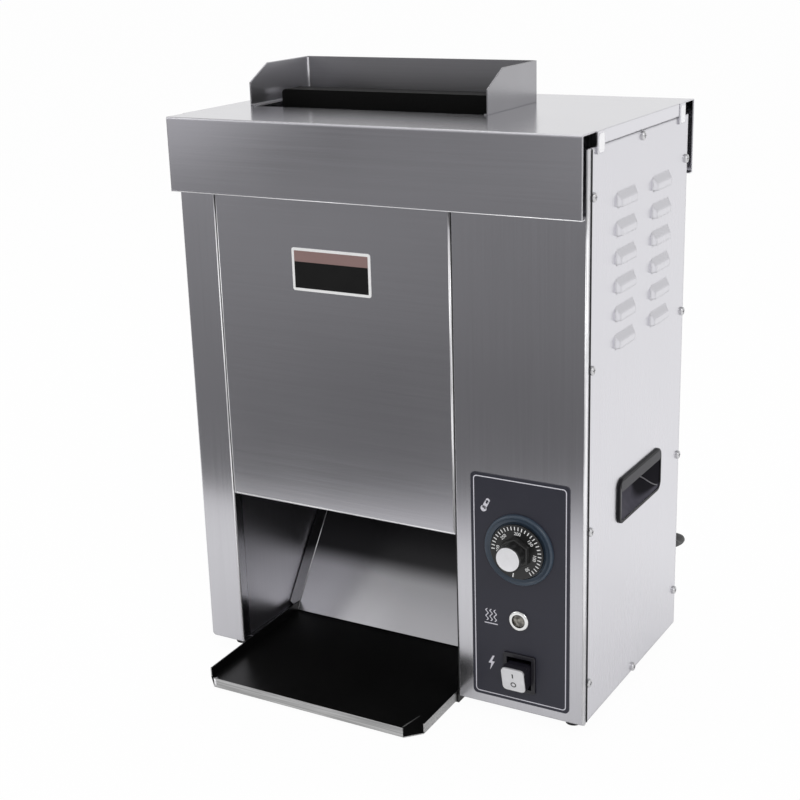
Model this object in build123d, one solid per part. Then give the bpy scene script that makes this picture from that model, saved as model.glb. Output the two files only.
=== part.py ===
from build123d import *
import math
import os

# A vertical conveyor toaster: two belts carry buns down both faces of a hot upright platen,
# and a chute drops them onto a tray at the front. Millimetres, +Z up, front towards -Y.
# The model is drawn with the body's front face at y = 0 and the counter at z = 0, and is
# moved at the end so that the origin lies on the counter under the middle of the toaster.

# ------------------------------------------------------------------ casing
body_width = 400.0
body_depth = 228.0
body_height = 501.0  # base plate underside to the top edge of the panels
outer_sheet = 1.0
frame_sheet = 1.2
bend_radius = 1.4
seam = 0.4  # open joint between neighbouring panels
front_return = 4.0  # visible turned edge of a front column beside the side panel
side_gap = 2.5  # shadow gap between that edge and the side panel
screw_flange = 18.0  # joggled flange that the side screws bite into
inner_return = 12.0
column_width = 38.0
control_width = 122.5
mouth_height = 157.5  # base plate underside to the lower edge of the front panel
corner_clip = 3.0
base_turnup = 12.0
bay_rear_gap = 4.0  # base plate's opening behind the tray
rail_drop = 12.0
rail_width = 14.0

# ------------------------------------------------------------------ hood and feed guard
hood_rise = 12.0  # hood top above the panels
hood_front_overhang = 12.5
hood_rear_overhang = 13.0
skirt_height = 66.5
skirt_hem = 6.0
hood_flange_drop = 11.0
hood_tab_drop = 18.0
hood_tab_width = 14.0
hood_flange_inset = 14.0
hood_tab_step = 0.6
feed_left_lap = 7.0  # feed opening past the edges of the front panel's bay, left and right
feed_right_lap = 7.5
feed_front = 80.0
feed_rear = 178.0
guard_height = 37.0
guard_front_height = 21.5
guard_slope_depth = 29.5
guard_margin_x = 3.5
guard_margin_y = 1.0
guard_foot = 2.5

# ------------------------------------------------------------------ feet
foot_height = 13.0
foot_radius = 8.5
foot_inset_x = 20.0
foot_inset_y = 24.0
foot_screw_radius = 2.0
foot_screw_reach = 6.0
foot_taper = 1.5
foot_bore_radius = 4.2
foot_floor = 4.0  # rubber left above the bore

# ------------------------------------------------------------------ side panels
screw_low = 37.5
screw_pitch = 141.5
screw_rows = 4
screw_front_y = 9.5
screw_rear_inset = 6.0
screw_radius = 1.9
screw_clearance = 0.15
screw_head_radius = 4.0
screw_head_height = 2.3
screw_length = 7.0
recess_depth = 1.0
recess_reach = 2.2
recess_width = 0.9
edge_screw_z = 4.5  # top and bottom centre screws, from the panel's edge
louver_width = 39.5
louver_height = 13.0
louver_depth = 4.0
louver_taper = 3.0
louver_lip = 6.0
louver_pitch = 24.0
louver_rows = 6
louver_top = 458.7
louver_front_y = 58.5
louver_column_gap = 42.0
handle_length = 103.0
handle_height = 42.0
handle_low = 162.0
handle_front_y = 70.0
handle_flange = 2.4
handle_wall = 2.2
handle_depth = 24.0
handle_lip_height = 15.0
handle_lip_thickness = 5.0
handle_corner = 9.0
handle_box_length = 99.0  # moulded box behind the panel
handle_box_height = 39.0
handle_box_corner = 6.0
handle_cut_gap = 0.3
handle_scoop_rise = 12.0
handle_scoop_ease = 3.0

# ------------------------------------------------------------------ oven and conveyor
oven_left_inset = 2.8  # inner wall behind the edge of the left column
oven_right_inset = 1.5
platen_thickness = 24.0
platen_bottom = 172.0
platen_proud = 11.2
platen_corner = 4.0
platen_left_gap = 2.8
platen_right_gap = 12.0
release_thickness = 0.8
heater_radius = 5.0
heater_rows = 3
heater_low = 240.0
heater_pitch = 105.0
heater_end = 14.0
gear_module = 2.0
gear_teeth = 20
gear_width = 8.0
gear_backlash = 0.35
roller_radius = 16.0
shaft_radius = 5.0
running_clearance = 0.05
roller_gap = 6.0
belt_thickness = 2.0
belt_clearance = 0.4
belt_inset = 4.0
drive_z = 190.0
idler_z = 478.0
bush_radius = 8.0
bush_flange_radius = 10.5
bush_flange = 2.0
bush_length = 6.0
shield_front_gap = 6.0  # heat shields, clear of the belts' outer runs
shield_top_gap = 14.0
shield_low_gap = 6.0
shield_chute_lap = 30.0
shield_flange_gap = 2.0
wall_foot = 12.0
release_low_gap = 8.0
heater_tail = 9.0  # heater ends past the right wall
wall_hole_gap = 1.0
standoff_radius = 7.0
standoff_low = 28.0  # from the platen's lower edge
standoff_pitch = 182.0
bulb_radius = 3.5
bulb_tail = 12.0
capillary_radius = 1.2
capillary_bend = 9.0
capillary_drop = 20.0

# ------------------------------------------------------------------ drive
sprocket_teeth = 15
chain_pitch = 9.525
chain_height = 7.0
chain_width = 6.0
motor_rear_gap = 78.0  # motor axis to the rear face
motor_z = 80.0
motor_radius = 29.0
gearbox_length = 26.0
gearbox_side = 62.0
motor_shaft_radius = 4.0
motor_wall_gap = 6.0
gearbox_gap = 6.0  # between the chain and the gearbox
gearbox_bore = 15.6
shaft_end_gap = 0.3
bracket_sheet = 2.5
gear_gap = 3.0  # between the bush flange and the gears
sprocket_gap = 5.0
sprocket_depth = 2.6  # tooth gap below and tooth tip above the pitch circle
sprocket_tip = 2.2
sprocket_hub_radius = 12.6
sprocket_hub = 3.0
shaft_tail = 2.0
idler_pin_radius = 4.0
idler_collar_radius = 8.5
idler_washer_radius = 6.5
idler_washer = 2.6
collar_gap = 0.3
washer_gap = 0.4

# ------------------------------------------------------------------ chute and tray
chute_angle = 36.4  # from the vertical
chute_front_y = 88.5
chute_front_z = -2.0  # from the base plate underside
chute_rear_y = 203.0
chute_flange = 11.0
chute_left_gap = 7.8
chute_right_gap = 4.0
flange_foot = 4.0  # end flanges, short of the chute's ends
flange_head = 12.0
chute_pin_radius = 3.0
chute_pin_share = 0.72  # height of the stand-offs up the chute
chute_pin_rise = 5.0
tray_thickness = 1.0
tray_front = 74.0
tray_rear = 104.0
tray_rim = 10.0
tray_corner = 14.0
tray_tilt = 2.0
tray_axis_z = -7.4  # tray underside at the body's front face, from the base plate underside
tray_left_gap = 6.8
tray_right_gap = 1.5
runner_ledge = 14.0
runner_flange = 8.0
runner_gap = 0.5
runner_end_gap = 2.0
slide_gap = 0.3

# ------------------------------------------------------------------ controls
control_inset = 61.0  # line of the controls, from the body's right face
label_inset = 14.0
label_width = 93.0
label_low = 8.3
label_height = 212.0
label_thickness = 0.8
label_corner = 4.0
thermostat_z = 155.0
bezel_radius = 32.5
bezel_thickness = 3.0
dial_radius = 25.0
dial_thickness = 2.4
grip_radius = 10.9
grip_length = 17.0
cap_radius = 10.2
cap_thickness = 1.4
spindle_radius = 3.0
lamp_z = 88.5
lamp_ring_radius = 9.3
lamp_ring_height = 2.6
lamp_lens_radius = 6.2
lamp_body_length = 28.0
lamp_nut = 5.0
lens_proud = 0.6
lens_dome = 1.6
hole_gap = 0.3
thermostat_side = (46.0, 38.0)  # capillary thermostat's width and height
thermostat_depth = 30.0
thermostat_hub_radius = 12.0
thermostat_hub = 6.0
spindle_depth = 12.0
spindle_seat = 6.0  # grip's front end to the spindle's end
spindle_hole_gap = 1.5
dial_gap = 0.4
cap_proud = 0.4
switch_z = 38.0
switch_width = 31.0
switch_height = 36.0
switch_frame_thickness = 2.0
switch_wall = 3.6
switch_body_depth = 24.0
switch_well_depth = 14.0
rocker_pivot_depth = 3.5
rocker_pin_radius = 1.5
rocker_hub_radius = 8.5
rocker_width = 22.8
rocker_pad_height = 20.6
rocker_reach = 14.5  # pivot to the front of the moulding
rocker_corner = 3.2
rocker_angle = 12.0
face_plate_thickness = 0.9
face_plate_inset = 0.5
blade_pitch = (12.0, 16.0)
blade_width = 6.2
blade_length = 9.0
blade_thickness = 0.8
terminal_size = (60.0, 20.0, 16.0)
terminal_inset = (40.0, 20.0)  # from the body's right and rear faces
terminal_poles = 6
terminal_hole_radius = 3.0
terminal_hole_floor = 8.0

# ------------------------------------------------------------------ supply cord
cord_radius = 4.0
cord_inset = 17.0
cord_exit_z = 82.0
gland_nut_radius = 9.5
gland_nut_length = 8.0
relief_length = 22.0
relief_radius = 6.5
relief_end_radius = 4.6
gland_tail = 8.0
lock_nut = 4.0
coil_floor_gap = 0.2
coil_radius = 47.0
coil_reach = 14.0
coil_layers = 2
coil_x = 20.0
coil_gap = 65.0
plug_radius = 14.0
plug_length = 38.0
plug_relief = 24.0
plug_neck_radius = 8.0
plug_floor_gap = 0.2
pin_radius = 2.4
pin_length = 19.0
pin_spacing = 19.0

# ------------------------------------------------------------------ derived levels
half_width = body_width / 2
base_z = foot_height
panel_top = base_z + body_height
hood_top = panel_top + hood_rise
column_edge = -half_width + column_width
control_edge = half_width - control_width
mouth_z = base_z + mouth_height
oven_left = column_edge - oven_left_inset
oven_right = control_edge - oven_right_inset
oven_front = inner_return + seam
oven_rear = body_depth - outer_sheet
feed_x = (column_edge - feed_left_lap, control_edge - feed_right_lap)
platen_x = (oven_left + platen_left_gap, oven_right - platen_right_gap)
platen_length = platen_x[1] - platen_x[0]
platen_y = (feed_front + feed_rear) / 2
gear_pitch_radius = gear_module * gear_teeth / 2
shaft_offset = 3 * gear_pitch_radius
front_shaft_y = platen_y - shaft_offset
rear_shaft_y = platen_y + shaft_offset
drive_height = base_z + drive_z
idler_height = base_z + idler_z
belt_outer_radius = roller_radius + belt_clearance + belt_thickness
front_shield_y = front_shaft_y - belt_outer_radius - shield_front_gap
rear_shield_y = rear_shaft_y + belt_outer_radius + shield_front_gap
gear_x = oven_right + frame_sheet + bush_flange + gear_gap
sprocket_x = gear_x + gear_width + sprocket_gap
thermostat_height = base_z + thermostat_z
lamp_height = base_z + lamp_z
switch_centre_z = base_z + switch_z
control_centre = half_width - control_inset
motor_y = body_depth - motor_rear_gap
gearbox_x = sprocket_x + chain_width + gearbox_gap
label_face = -label_thickness


# ------------------------------------------------------------------ shape helpers
def slab(x, y, z):
    """Box between a low and a high limit along each axis."""
    spans = [(min(pair), max(pair)) for pair in (x, y, z)]
    size = [high - low for low, high in spans]
    centre = [(high + low) / 2 for low, high in spans]
    return Pos(*centre) * Box(*size)


def bar_x(radius, x, y, z):
    """Round bar along X between two limits."""
    return Pos((x[0] + x[1]) / 2, y, z) * Rot(0, 90, 0) * Cylinder(radius, abs(x[1] - x[0]))


def bar_y(radius, x, y, z):
    """Round bar along Y between two limits."""
    return Pos(x, (y[0] + y[1]) / 2, z) * Rot(90, 0, 0) * Cylinder(radius, abs(y[1] - y[0]))


def bar_z(radius, x, y, z):
    """Round bar along Z between two limits."""
    return Pos(x, y, (z[0] + z[1]) / 2) * Cylinder(radius, abs(z[1] - z[0]))


def prism_x(points, x):
    """Outline of (y, z) points carried along X."""
    wire = Polyline(*[(x[0], y, z) for y, z in points], close=True)
    return extrude(make_face(wire), x[1] - x[0], dir=(1, 0, 0))


def prism_y(points, y):
    """Outline of (x, z) points carried along Y."""
    wire = Polyline(*[(px, y[0], pz) for px, pz in points], close=True)
    return extrude(make_face(wire), y[1] - y[0], dir=(0, 1, 0))


def prism_z(points, z):
    """Outline of (x, y) points carried along Z."""
    wire = Polyline(*[(px, py, z[0]) for px, py in points], close=True)
    return extrude(make_face(wire), z[1] - z[0], dir=(0, 0, 1))


def edges_at(shape, axis, x=None, y=None, z=None):
    """Straight edges along an axis whose middles lie at the given coordinates."""
    def there(edge):
        middle = edge.center()
        wanted = ((middle.X, x), (middle.Y, y), (middle.Z, z))
        return all(target is None or abs(value - target) < 0.01 for value, target in wanted)
    return shape.edges().filter_by(axis).filter_by(there)


def rounded_plate_x(width, height, corner, x, y, z):
    """Plate square to X with rounded corners, centred at y, z."""
    outline = Plane.YZ.offset(x[0]) * Pos(y, z) * RectangleRounded(width, height, corner)
    return extrude(outline, x[1] - x[0], dir=(1, 0, 0))


def rounded_plate_y(width, height, corner, x, y, z):
    """Plate square to Y with rounded corners, centred at x, z."""
    outline = Pos(x, y[0], z) * Rot(90, 0, 0) * RectangleRounded(width, height, corner)
    return extrude(outline, y[1] - y[0], dir=(0, 1, 0))


def group(solids):
    """Several loose solids kept together as one node."""
    return Compound(children=[piece for solid in solids for piece in solid.solids()])


# ------------------------------------------------------------------ casing
def column_plan(outer, inner, sign):
    """Plan outline of a front column: face, turned edge and joggled screw flange outside,
    and a plain return inside. sign is -1 for the left column and 1 for the right one."""
    t = outer_sheet
    step = front_return
    end = step + screw_flange
    return [
        (outer, 0), (inner, 0), (inner, inner_return), (inner + sign * t, inner_return),
        (inner + sign * t, t), (outer - sign * t, t), (outer - sign * t, step - t),
        (outer - 2 * sign * t, step - t), (outer - 2 * sign * t, end),
        (outer - sign * t, end), (outer - sign * t, step), (outer, step),
    ]


def side_screw_heights():
    return [base_z + screw_low + row * screw_pitch for row in range(screw_rows)]


def flange_holes(x, y):
    """Screw holes through the joggled flange at x."""
    hole = screw_radius + screw_clearance / 2
    return [bar_x(hole, (x - 4, x + 4), y, z) for z in side_screw_heights()]


def left_front_column():
    column = prism_z(column_plan(-half_width, column_edge, -1), (base_z, panel_top))
    column = fillet(edges_at(column, Axis.Z, -half_width, 0), bend_radius)
    column = fillet(edges_at(column, Axis.Z, column_edge, 0), bend_radius)
    clip = prism_y(
        [(-half_width, base_z), (-half_width + corner_clip, base_z), (-half_width, base_z + corner_clip)],
        (-1, front_return))
    column -= clip
    for hole in flange_holes(-half_width, screw_front_y):
        column -= hole
    return column


def control_column():
    column = prism_z(column_plan(half_width, control_edge, 1), (base_z, panel_top))
    column = fillet(edges_at(column, Axis.Z, half_width, 0), bend_radius)
    column = fillet(edges_at(column, Axis.Z, control_edge, 0), bend_radius)
    for hole in flange_holes(half_width, screw_front_y):
        column -= hole
    for hole in control_holes((-1, outer_sheet + 1)):
        column -= hole
    return column


def control_holes(y):
    """Openings for the thermostat spindle, the lamp and the switch."""
    return [
        bar_y(spindle_radius + spindle_hole_gap, control_centre, y, thermostat_height),
        bar_y(lamp_lens_radius + hole_gap, control_centre, y, lamp_height),
        slab((control_centre - switch_well_x() / 2 - 1, control_centre + switch_well_x() / 2 + 1),
             y,
             (switch_centre_z - switch_well_z() / 2 - 1, switch_centre_z + switch_well_z() / 2 + 1)),
    ]


def front_panel():
    """Pan between the columns with turned side edges and a turned lower edge."""
    x = (column_edge + seam, control_edge - seam)
    z = (mouth_z, panel_top)
    t = outer_sheet
    panel = slab(x, (0, inner_return), z)
    panel -= slab((x[0] + t, x[1] - t), (t, inner_return + 1), (z[0] + t, z[1] + 1))
    for edge_x in x:
        panel = fillet(edges_at(panel, Axis.Z, edge_x, 0), bend_radius)
    return panel


def rear_panel():
    """Back of the casing, with joggled flanges behind the side panels."""
    t = outer_sheet
    back = body_depth
    end = back - screw_flange
    plan = [
        (-half_width + t, back), (half_width - t, back), (half_width - t, end),
        (half_width - 2 * t, end), (half_width - 2 * t, back - t),
        (-half_width + 2 * t, back - t), (-half_width + 2 * t, end), (-half_width + t, end),
    ]
    panel = prism_z(plan, (base_z, panel_top))
    for side in (-half_width, half_width):
        for hole in flange_holes(side, body_depth - screw_rear_inset):
            panel -= hole
    return panel - bar_y(relief_radius + screw_clearance, cord_x(), (back - 3, back + 3), cord_z())


def base_plate():
    """Floor of the casing: a plate with turned-up sides, notched round the turned edges of the
    panels and cut open over the tray."""
    t = frame_sheet
    side = half_width - outer_sheet
    y = (outer_sheet, body_depth - outer_sheet)
    through = (base_z - 1, base_z + t + 1)
    plate = slab((-side, side), y, (base_z, base_z + t))
    reach = (screw_flange + front_return + seam, body_depth - screw_flange - seam)
    hole = screw_radius + screw_clearance / 2
    for sign in (-1, 1):
        edge = (sign * (side - outer_sheet - seam), sign * (side + 1))
        plate -= slab(edge, (-1, reach[0]), through)
        plate -= slab(edge, (reach[1], body_depth + 1), through)
        plate += slab((sign * (side - t), sign * side), reach, (base_z, base_z + base_turnup))
        plate -= bar_x(hole, (sign * (side - 4), sign * (side + 1)), body_depth / 2, base_z + edge_screw_z)
    returns = (column_edge - outer_sheet - seam, control_edge + outer_sheet + seam)
    plate -= slab(returns, (-1, inner_return + seam), through)
    plate -= slab(tray_bay_x(), (-1, tray_rear + bay_rear_gap), through)
    for x, y_foot in foot_places():
        plate -= bar_z(foot_screw_radius + screw_clearance, x, y_foot, through)
    return plate


def top_rails():
    """Two channels along the top of the sides; the hood rests on them."""
    t = frame_sheet
    side = half_width - outer_sheet
    reach = front_return + screw_flange + seam
    y = (reach, body_depth - reach)
    hole = screw_radius + screw_clearance / 2
    rails = []
    for sign in (-1, 1):
        rail = slab((sign * (side - t), sign * side), y, (panel_top - rail_drop, hood_top - outer_sheet))
        rail += slab((sign * (side - rail_width), sign * side), y, (hood_top - outer_sheet - t, hood_top - outer_sheet))
        rail -= bar_x(hole, (sign * (side - 4), sign * (side + 1)), body_depth / 2, panel_top - edge_screw_z)
        rails.append(rail)
    return group(rails)


def foot_places():
    y_places = (foot_inset_y, body_depth - foot_inset_y)
    return [(sign * (half_width - foot_inset_x), y) for sign in (-1, 1) for y in y_places]


def feet():
    """Moulded rubber feet, slightly tapered, with a bore for the fixing screw."""
    solids = []
    for x, y in foot_places():
        foot = Pos(x, y, foot_height / 2) * Cone(foot_radius - foot_taper, foot_radius, foot_height)
        foot -= bar_z(foot_bore_radius, x, y, (-1, foot_height - foot_floor))
        solids.append(foot - bar_z(foot_screw_radius + screw_clearance, x, y, (0, foot_height + 1)))
    return group(solids)


def foot_screws():
    """Round-head screws that hold the feet up to the base plate."""
    solids = []
    for x, y in foot_places():
        seat = foot_height - foot_floor
        screw = bar_z(screw_head_radius, x, y, (seat - screw_head_height, seat))
        solids.append(screw + bar_z(foot_screw_radius, x, y, (seat, foot_height + foot_screw_reach)))
    return solids


# ------------------------------------------------------------------ side panels
def louver(y, z):
    """Pressed louver on the plane x = 0, bulging towards +X and open along its lower edge.
    Returns the bulge and the hollow behind it."""
    t = outer_sheet
    middle_y = y + louver_width / 2
    middle_z = z + louver_height / 2
    root = Plane.YZ.offset(-t / 2) * Pos(middle_y, middle_z) * Rectangle(louver_width, louver_height)
    lip_width = louver_width - 2 * louver_taper
    lip = Plane.YZ.offset(louver_depth) * Pos(middle_y, z + louver_lip / 2) * Rectangle(lip_width, louver_lip)
    bulge = loft([root.face(), lip.face()])
    inner_height = louver_height - 1.5 * t
    inner_root = (Plane.YZ.offset(-1.5 * t) * Pos(middle_y, z + inner_height / 2)
                  * Rectangle(louver_width - 2 * t, inner_height))
    inner_lip_height = louver_lip - t
    inner_lip = (Plane.YZ.offset(louver_depth - t) * Pos(middle_y, z + inner_lip_height / 2)
                 * Rectangle(lip_width - 2 * t, inner_lip_height))
    return bulge, loft([inner_root.face(), inner_lip.face()])


def side_panel(sign):
    """Flat panel with two columns of louvers, a handle cut-out and screw holes."""
    face = half_width
    y = (front_return + side_gap, body_depth - 2 * outer_sheet)
    panel = slab((face - outer_sheet, face), y, (base_z + outer_sheet, panel_top))
    hollows = []
    for column in range(2):
        column_y = louver_front_y + column * (louver_width + louver_column_gap)
        for row in range(louver_rows):
            low = base_z + louver_top - louver_height - row * louver_pitch
            bulge, hollow = louver(column_y, low)
            panel += Pos(face, 0, 0) * bulge
            hollows.append(Pos(face, 0, 0) * hollow)
    for hollow in hollows:
        panel -= hollow
    gap = handle_cut_gap
    panel -= rounded_plate_x(handle_box_length + 2 * gap, handle_box_height + 2 * gap, handle_box_corner + gap,
                             (face - 3, face + 1), *handle_middle())
    for screw_y, screw_z in side_screw_places():
        panel -= bar_x(screw_radius + screw_clearance, (face - 3, face + 1), screw_y, screw_z)
    return panel if sign > 0 else mirror(panel, about=Plane.YZ)


def side_screw_places():
    """(y, z) of the screws of one side panel."""
    columns = (screw_front_y, body_depth - screw_rear_inset)
    places = [(y, z) for y in columns for z in side_screw_heights()]
    middle = body_depth / 2
    return places + [(middle, panel_top - edge_screw_z), (middle, base_z + edge_screw_z)]


def pan_head_screw():
    """Cross-recessed pan head screw along +X, its head seated on the plane x = 0."""
    head = bar_x(screw_head_radius, (0, screw_head_height), 0, 0)
    rim = head.edges().filter_by(GeomType.CIRCLE).sort_by(Axis.X)[-1]
    head = fillet(rim, screw_head_height * 0.6)
    for turn in (0, 90):
        slot = slab((screw_head_height - recess_depth, screw_head_height + 1),
                    (-recess_reach, recess_reach), (-recess_width / 2, recess_width / 2))
        head -= Rot(turn, 0, 0) * slot
    return head + bar_x(screw_radius, (-screw_length, 0), 0, 0)


def screws():
    """All the screws of the casing: those of the side panels and of the feet."""
    screw = pan_head_screw()
    solids = foot_screws()
    for y, z in side_screw_places():
        placed = Pos(half_width, y, z) * screw
        solids += [placed, mirror(placed, about=Plane.YZ)]
    return group(solids)


def handle_middle():
    return handle_front_y + handle_length / 2, base_z + handle_low + handle_height / 2


def recessed_handle(sign):
    """Moulded grip pocket: a rounded flange outside the panel, a curved scoop inside it and a
    lip across the top that the fingers close behind."""
    y, z = handle_middle()
    face = half_width
    flange = rounded_plate_x(handle_length, handle_height, handle_corner, (face, face + handle_flange), y, z)
    rim = flange.faces().sort_by(Axis.X)[-1].edges()
    flange = fillet(rim, handle_flange * 0.45)
    pocket = rounded_plate_x(handle_box_length, handle_box_height, handle_box_corner,
                             (face - handle_depth, face + 0.5), y, z)
    body = flange + pocket
    low = z - handle_box_height / 2 + handle_wall
    high = z + handle_box_height / 2 - handle_wall
    back = face - handle_depth + handle_wall
    front = face + handle_flange
    lip_low = z + handle_height / 2 - handle_lip_height
    scoop = Polyline((front + 1, lip_low), (front + 1, low))
    bend = low + handle_scoop_rise
    floor = Spline((front + 1, low), (face - handle_depth * 0.45, low + handle_scoop_ease), (back, bend),
                   tangents=[(-1, 0), (0, 1)])
    inside = Polyline((back, bend), (back, high), (face - handle_lip_thickness, high),
                      (face - handle_lip_thickness, lip_low), (front + 1, lip_low))
    outline = Plane.XZ * make_face([scoop, floor, inside])
    length = handle_box_length - 2 * handle_wall
    hollow = extrude(Pos(0, y - length / 2, 0) * outline, length, dir=(0, 1, 0))
    body -= hollow
    return body if sign > 0 else mirror(body, about=Plane.YZ)


# ------------------------------------------------------------------ hood and feed guard
def hood():
    """Lid with deep skirts in front and behind, short side flanges with end tabs, and the
    feed opening in its top."""
    t = outer_sheet
    y = (-hood_front_overhang, body_depth + hood_rear_overhang)
    lid = slab((-half_width, half_width), y, (hood_top - t, hood_top))
    low = hood_top - skirt_height
    lid += slab((-half_width, half_width), (y[0], y[0] + t), (low, hood_top))
    lid += slab((-half_width, half_width), (y[0], y[0] + skirt_hem), (low, low + t))
    lid += slab((-half_width, half_width), (y[1] - t, y[1]), (low, hood_top))
    lid += slab((-half_width, half_width), (y[1] - skirt_hem, y[1]), (low, low + t))
    inset = hood_flange_inset
    flange_y = (inset, body_depth - inset)
    for sign in (-1, 1):
        face = sign * half_width
        out = sign * (half_width + t)
        lid += slab((face, out), flange_y, (hood_top - hood_flange_drop, hood_top))
        proud = sign * (half_width + t + hood_tab_step)
        for tab in ((flange_y[0], flange_y[0] + hood_tab_width), (flange_y[1] - hood_tab_width, flange_y[1])):
            lid += slab((face, proud), tab, (hood_top - hood_tab_drop, hood_top))
    for edge_y in y:
        lid = fillet(edges_at(lid, Axis.X, None, edge_y, hood_top), bend_radius)
    return lid - slab(feed_x, (feed_front, feed_rear), (hood_top - t - 1, hood_top + 1))


def guard_box():
    """Outer limits of the feed guard in plan."""
    return ((feed_x[0] - guard_margin_x, feed_x[1] + guard_margin_x),
            (feed_front - guard_margin_y, feed_rear + guard_margin_y))


def feed_guard():
    """Three-sided sheet guard round the feed opening, its sides sloped off at the front."""
    t = outer_sheet
    x, y = guard_box()
    top = hood_top + guard_height
    guard = slab(x, y, (hood_top, top))
    guard -= slab((x[0] + t, x[1] - t), (y[0] - 1, y[1] - t), (hood_top - 1, top + 1))
    slope = [(y[0] - 1, hood_top + guard_front_height), (y[0], hood_top + guard_front_height),
             (y[0] + guard_slope_depth, top), (y[0] + guard_slope_depth, top + 1), (y[0] - 1, top + 1)]
    guard -= prism_x(slope, (x[0] - 1, x[1] + 1))
    for edge_x in x:
        guard = fillet(edges_at(guard, Axis.Z, edge_x, y[1]), bend_radius)
    for foot in ((x[0], x[0] + t + guard_foot), (x[1] - t - guard_foot, x[1])):
        guard += slab(foot, (y[0], y[1] - bend_radius), (hood_top, hood_top + t))
    return guard


# ------------------------------------------------------------------ oven
def shaft_places():
    """(y, z) of the four roller shafts."""
    return [(y, z) for y in (front_shaft_y, rear_shaft_y) for z in (drive_height, idler_height)]


def inner_wall(face, away):
    """Upright wall of the oven. face is its inner side; away is the direction of its foot."""
    outer = face + away * frame_sheet
    foot = face + away * wall_foot
    y = (oven_front, oven_rear)
    low = base_z + frame_sheet
    wall = slab((face, outer), y, (low, panel_top))
    wall += slab((face, foot), (tray_rear, oven_rear), (low, low + frame_sheet))
    wall += slab((face, foot), y, (panel_top - frame_sheet, panel_top))
    for shaft_y, shaft_z in shaft_places():
        wall -= bar_x(bush_radius + running_clearance, (face - 3, face + 3), shaft_y, shaft_z)
    return wall


def left_inner_wall():
    return inner_wall(oven_left, -1)


def right_inner_wall():
    """The oven wall beside the drive and the controls, bored for the heater ends."""
    wall = inner_wall(oven_right, 1)
    for z in heater_heights():
        wall -= bar_x(heater_radius + wall_hole_gap, (oven_right - 3, oven_right + 3), platen_y, z)
    wall -= bar_x(bulb_radius + wall_hole_gap, (oven_right - 3, oven_right + 3), platen_y, bulb_height())
    for y in idler_gear_places():
        wall -= bar_x(idler_pin_radius + running_clearance, (oven_right - 3, oven_right + 3), y, drive_height)
    return wall


def heat_shields_z():
    return mouth_z + shield_low_gap, panel_top - shield_top_gap


def front_heat_shield():
    low, high = heat_shields_z()
    t = frame_sheet
    y = front_shield_y
    shield = slab((oven_left, oven_right), (y - t, y), (low, high))
    shield += slab((oven_left, oven_right), (oven_front + shield_flange_gap, y), (low, low + t))
    return shield + slab((oven_left, oven_right), (oven_front + shield_flange_gap, y), (high - t, high))


def rear_heat_shield():
    high = heat_shields_z()[1]
    t = frame_sheet
    y = rear_shield_y
    shield = slab((oven_left, oven_right), (y, y + t), (chute_rear_z() - shield_chute_lap, high))
    return shield + slab((oven_left, oven_right), (y, oven_rear), (high - t, high))


def heater_heights():
    return [base_z + heater_low + row * heater_pitch for row in range(heater_rows)]


def bulb_height():
    return base_z + heater_low + heater_pitch / 2


def platen():
    """Upright heated plate, bored from its right end for the heaters and the sensor."""
    z = (base_z + platen_bottom, hood_top + platen_proud)
    y = (platen_y - platen_thickness / 2, platen_y + platen_thickness / 2)
    plate = slab(platen_x, y, z)
    for edge_x in platen_x:
        plate = fillet(edges_at(plate, Axis.Y, edge_x, None, z[1]), platen_corner)
    for height in heater_heights():
        plate -= bar_x(heater_radius + running_clearance, (platen_x[0] + heater_end, platen_x[1] + 1), platen_y, height)
    bulb = (platen_x[0] + platen_length / 2, platen_x[1] + 1)
    return plate - bar_x(bulb_radius + running_clearance, bulb, platen_y, bulb_height())


def release_sheet():
    """Non-stick sheet hung over the platen's top edge and down both faces."""
    t = release_thickness
    y = (platen_y - platen_thickness / 2 - t, platen_y + platen_thickness / 2 + t)
    z = (base_z + platen_bottom + release_low_gap, hood_top + platen_proud + t)
    sheet = slab(platen_x, y, z)
    for edge_x in platen_x:
        sheet = fillet(edges_at(sheet, Axis.Y, edge_x, None, z[1]), platen_corner)
    core = slab((platen_x[0] - 1, platen_x[1] + 1), (y[0] + t, y[1] - t), (z[0] - 1, z[1] - t))
    return sheet - core


def platen_heaters():
    """Cartridge heaters pushed into the platen, their ends reaching past the inner wall."""
    solids = []
    for z in heater_heights():
        x = (platen_x[0] + heater_end, oven_right + frame_sheet + heater_tail)
        solids.append(bar_x(heater_radius, x, platen_y, z))
    return group(solids)


def oven_standoffs():
    """Stand-offs that carry the platen and the deflector between the oven walls."""
    solids = deflector_pins()
    low = base_z + platen_bottom + standoff_low
    for z in (low, low + standoff_pitch):
        solids.append(bar_x(standoff_radius, (oven_left, platen_x[0]), platen_y, z))
        solids.append(bar_x(standoff_radius, (platen_x[1], oven_right), platen_y, z))
    return group(solids)


# ------------------------------------------------------------------ conveyor
def roller(y, z, reach):
    """Turned roller with journals; reach is how far its right journal runs past the wall."""
    drum = bar_x(roller_radius, (oven_left + roller_gap, oven_right - roller_gap), y, z)
    return drum + bar_x(shaft_radius, (oven_left - bush_length, reach), y, z)


def idler_reach():
    return oven_right + bush_length


def drive_reach(with_sprocket):
    last = sprocket_x + chain_width + shaft_tail if with_sprocket else gear_x + gear_width
    return last + shaft_tail


def belt(y):
    """Closed belt round a pair of rollers, at rest clear of them by a running gap."""
    x = (oven_left + roller_gap + belt_inset, oven_right - roller_gap - belt_inset)
    inner = roller_radius + belt_clearance
    outer = inner + belt_thickness
    return belt_loop(x, y, outer) - belt_loop((x[0] - 1, x[1] + 1), y, inner)


def belt_loop(x, y, radius):
    """Solid with a belt's stadium outline."""
    block = slab(x, (y - radius, y + radius), (drive_height, idler_height))
    return block + bar_x(radius, x, y, drive_height) + bar_x(radius, x, y, idler_height)


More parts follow.
